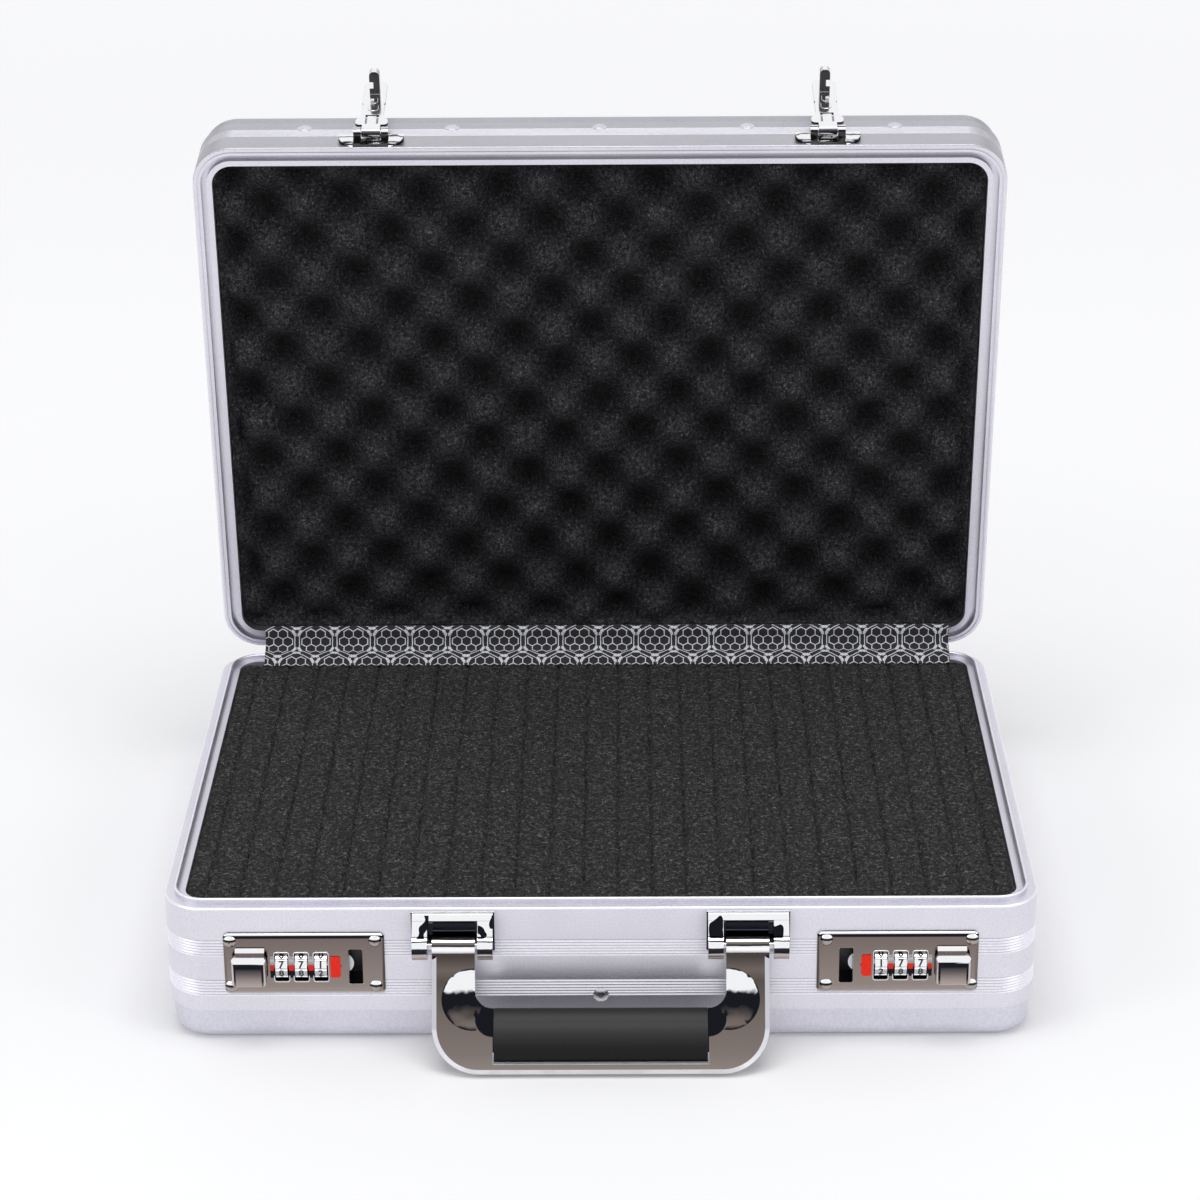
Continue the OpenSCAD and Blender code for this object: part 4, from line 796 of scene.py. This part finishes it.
def window_rim(name, centre, size, corner, width, height):
    """A rounded lip round a window of the lock plate, modelled flat and stood up against the plate."""
    bpy.ops.object.select_all(action="DESELECT")
    bpy.ops.mesh.primitive_plane_add(size=1)
    rim = bpy.context.object
    rim.name = name
    bpy.ops.object.mode_set(mode="EDIT")
    bpy.ops.mesh.select_all(action="SELECT")
    bpy.ops.transform.resize(value=(size[0] * MM, size[1] * MM, 1))
    bpy.ops.mesh.bevel(offset=corner * MM, segments=6, affect="VERTICES")
    bpy.ops.mesh.inset(thickness=width * MM)
    bpy.ops.mesh.delete(type="FACE")
    bpy.ops.object.mode_set(mode="OBJECT")
    lip = rim.modifiers.new("lip", "SOLIDIFY")
    lip.thickness, lip.offset = height * MM, 1
    bpy.ops.object.modifier_apply(modifier="lip")
    soft = rim.modifiers.new("soft", "BEVEL")
    soft.width, soft.segments, soft.limit_method, soft.angle_limit = 0.42 * width * MM, 4, "ANGLE", math.radians(50)
    bpy.ops.object.modifier_apply(modifier="soft")
    bpy.ops.object.shade_smooth_by_angle(angle=math.radians(60))
    rim.data.transform(Matrix.Translation([c * MM for c in centre]) @ Matrix.Rotation(math.radians(90), 4, "X"))
    return rim


def lock_trim(side):
    """Silver lips round the three dial windows and the tongue slot of one lock, as one piece."""
    rims = []
    for i in range(3):
        centre = (-WINDOW_X - WINDOW_PITCH * i, -RIM_BACK, WINDOW_Z)
        rims.append(window_rim(f"window_rim_{i}", centre, (8.5, 17.6), 1.5, 0.68, 0.75))
    # The slot's lip ends at the plate's front, so that the hasp's plate can lie there
    rims.append(window_rim("slot_rim", (-SLOT_X, -RIM_BACK, WINDOW_Z), (8.2, 21), 1.2, 0.5, 0.24))
    bpy.ops.object.select_all(action="DESELECT")
    for rim in rims:
        rim.select_set(True)
    bpy.context.view_layer.objects.active = rims[0]
    bpy.ops.object.join()
    trim = rims[0]
    trim.name = f"lock_trim_{side}"
    if side == "right":
        trim.data.transform(Matrix.Scale(-1, 4, (1, 0, 0)))
        trim.data.flip_normals()
    settle(trim, "base", "trim")


def soft_finish(obj, material, body, replaced):
    """Smooths a foam piece and gives it its material and body, in place of its solids."""
    only(obj)
    bpy.ops.object.shade_smooth_by_angle(angle=math.radians(60))
    obj.data.materials.append(material)
    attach(obj, body)
    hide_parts(*replaced)


def lining_piece():
    """The printed cloth over the hinge: one sheet from under the base foam's edge up on to the lid's rim."""
    route = np.array([[146.2, -1.5], [149.6, 0.5], [152.4, 3], [155.4, 3.8], [158.4, 5], [160.4, 7.4], [161.1, 10.4],
                      [160.8, 13.6], [161.6, 15.4], [163.4, 16.2]])
    steps = np.concatenate([[0], np.cumsum(np.linalg.norm(np.diff(route, axis=0), axis=1))])
    rows = 40
    along = np.linspace(0, steps[-1], rows)
    ys, zs = np.interp(along, steps, route[:, 0]), np.interp(along, steps, route[:, 1])
    for _ in range(3):
        ys[1:-1] = (ys[:-2] + 2 * ys[1:-1] + ys[2:]) / 4
        zs[1:-1] = (zs[:-2] + 2 * zs[1:-1] + zs[2:]) / 4
    columns = 240
    xs = np.linspace(-200.9, 204.9, columns)
    points, uvs = [], []
    for i in range(rows):
        for x in xs:
            ripple = 0.25 * math.sin(x / 17 + i * 0.2) * math.sin(math.pi * i / (rows - 1))
            points.append((x, ys[i] - ripple, BASE_H + zs[i] + 0.4 * ripple))
            uvs.append((x * MM, along[i] * MM))
    obj = grid_mesh("hinge_lining_cloth", rows, columns, np.array(points) * MM)
    layer = obj.data.uv_layers.new(name="cloth")
    for loop in obj.data.loops:
        layer.data[loop.index].uv = uvs[loop.vertex_index]
    only(obj)
    thick = obj.modifiers.new("cloth", "SOLIDIFY")
    thick.thickness, thick.offset = 0.5 * MM, 0
    bpy.ops.object.modifier_apply(modifier="cloth")
    bpy.ops.object.shade_smooth_by_angle(angle=math.radians(50))
    obj.data.materials.append(honeycomb_fabric())
    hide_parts("hinge_lining")
    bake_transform(obj)


# Making

photo_camera()
studio()

for node, material in (("base_tray", "panel"), ("lid_panel", "lid_panel"),
                       ("base_rivets", "rivet"), ("lid_rivets", "rivet"), ("hinge_leaf_base", "steel"),
                       ("hinge_leaf_lid", "steel"), ("hinge_pin", "pin")):
    dressed(node, material)
for side in SIDES:
    dressed(f"handle_pin_{side}", "pin")
    dressed(f"lock_housing_{side}", "dark")
    dressed(f"lock_screws_{side}", "screw")
    dressed(f"dial_shaft_{side}", "pin")
    dressed(f"hasp_pin_{side}", "pin")
    dressed(f"lock_slider_{side}", "steel")
    spring = eased(f"return_spring_{side}", "pin", "base", 0)
    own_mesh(spring)
    eased(f"lock_plate_{side}", "plate", "base", 0.1)
    eased(f"handle_bracket_{side}", "lug", "base", 0.35, 3)
    eased(f"indicator_{side}", "red", "base", 0.12)
    eased(f"hasp_base_{side}", "hasp", "lid", 0.25)
    eased(f"hasp_lever_{side}", "lever", f"hasp_{side}", 0.25)
    eased(f"lock_button_{side}", "button", f"release_{side}", 0.4, 3)
    lock_trim(side)
    for index in (1, 2, 3):
        eased(f"dial_{side}_{index}", "dial", f"wheel_{side}_{index}", 0.12)
        dial_numbers(side, index, 1 if index == 1 else 7)
eased("base_frame", "frame", "base", 0.3)
eased("lid_frame", "lid_frame", "lid", 0.3)
for node in ("base_feet", "lid_feet"):
    eased(node, "rubber", node.split("_")[0], 0.4)
eased("handle_frame", "handle", "handle", 0.4, 3, 34, 13)
eased("handle_grip", "grip", "handle", 0.6, 3)
base_foam_piece()
foam_pad_piece()
lid_foam_piece()
lining_piece()
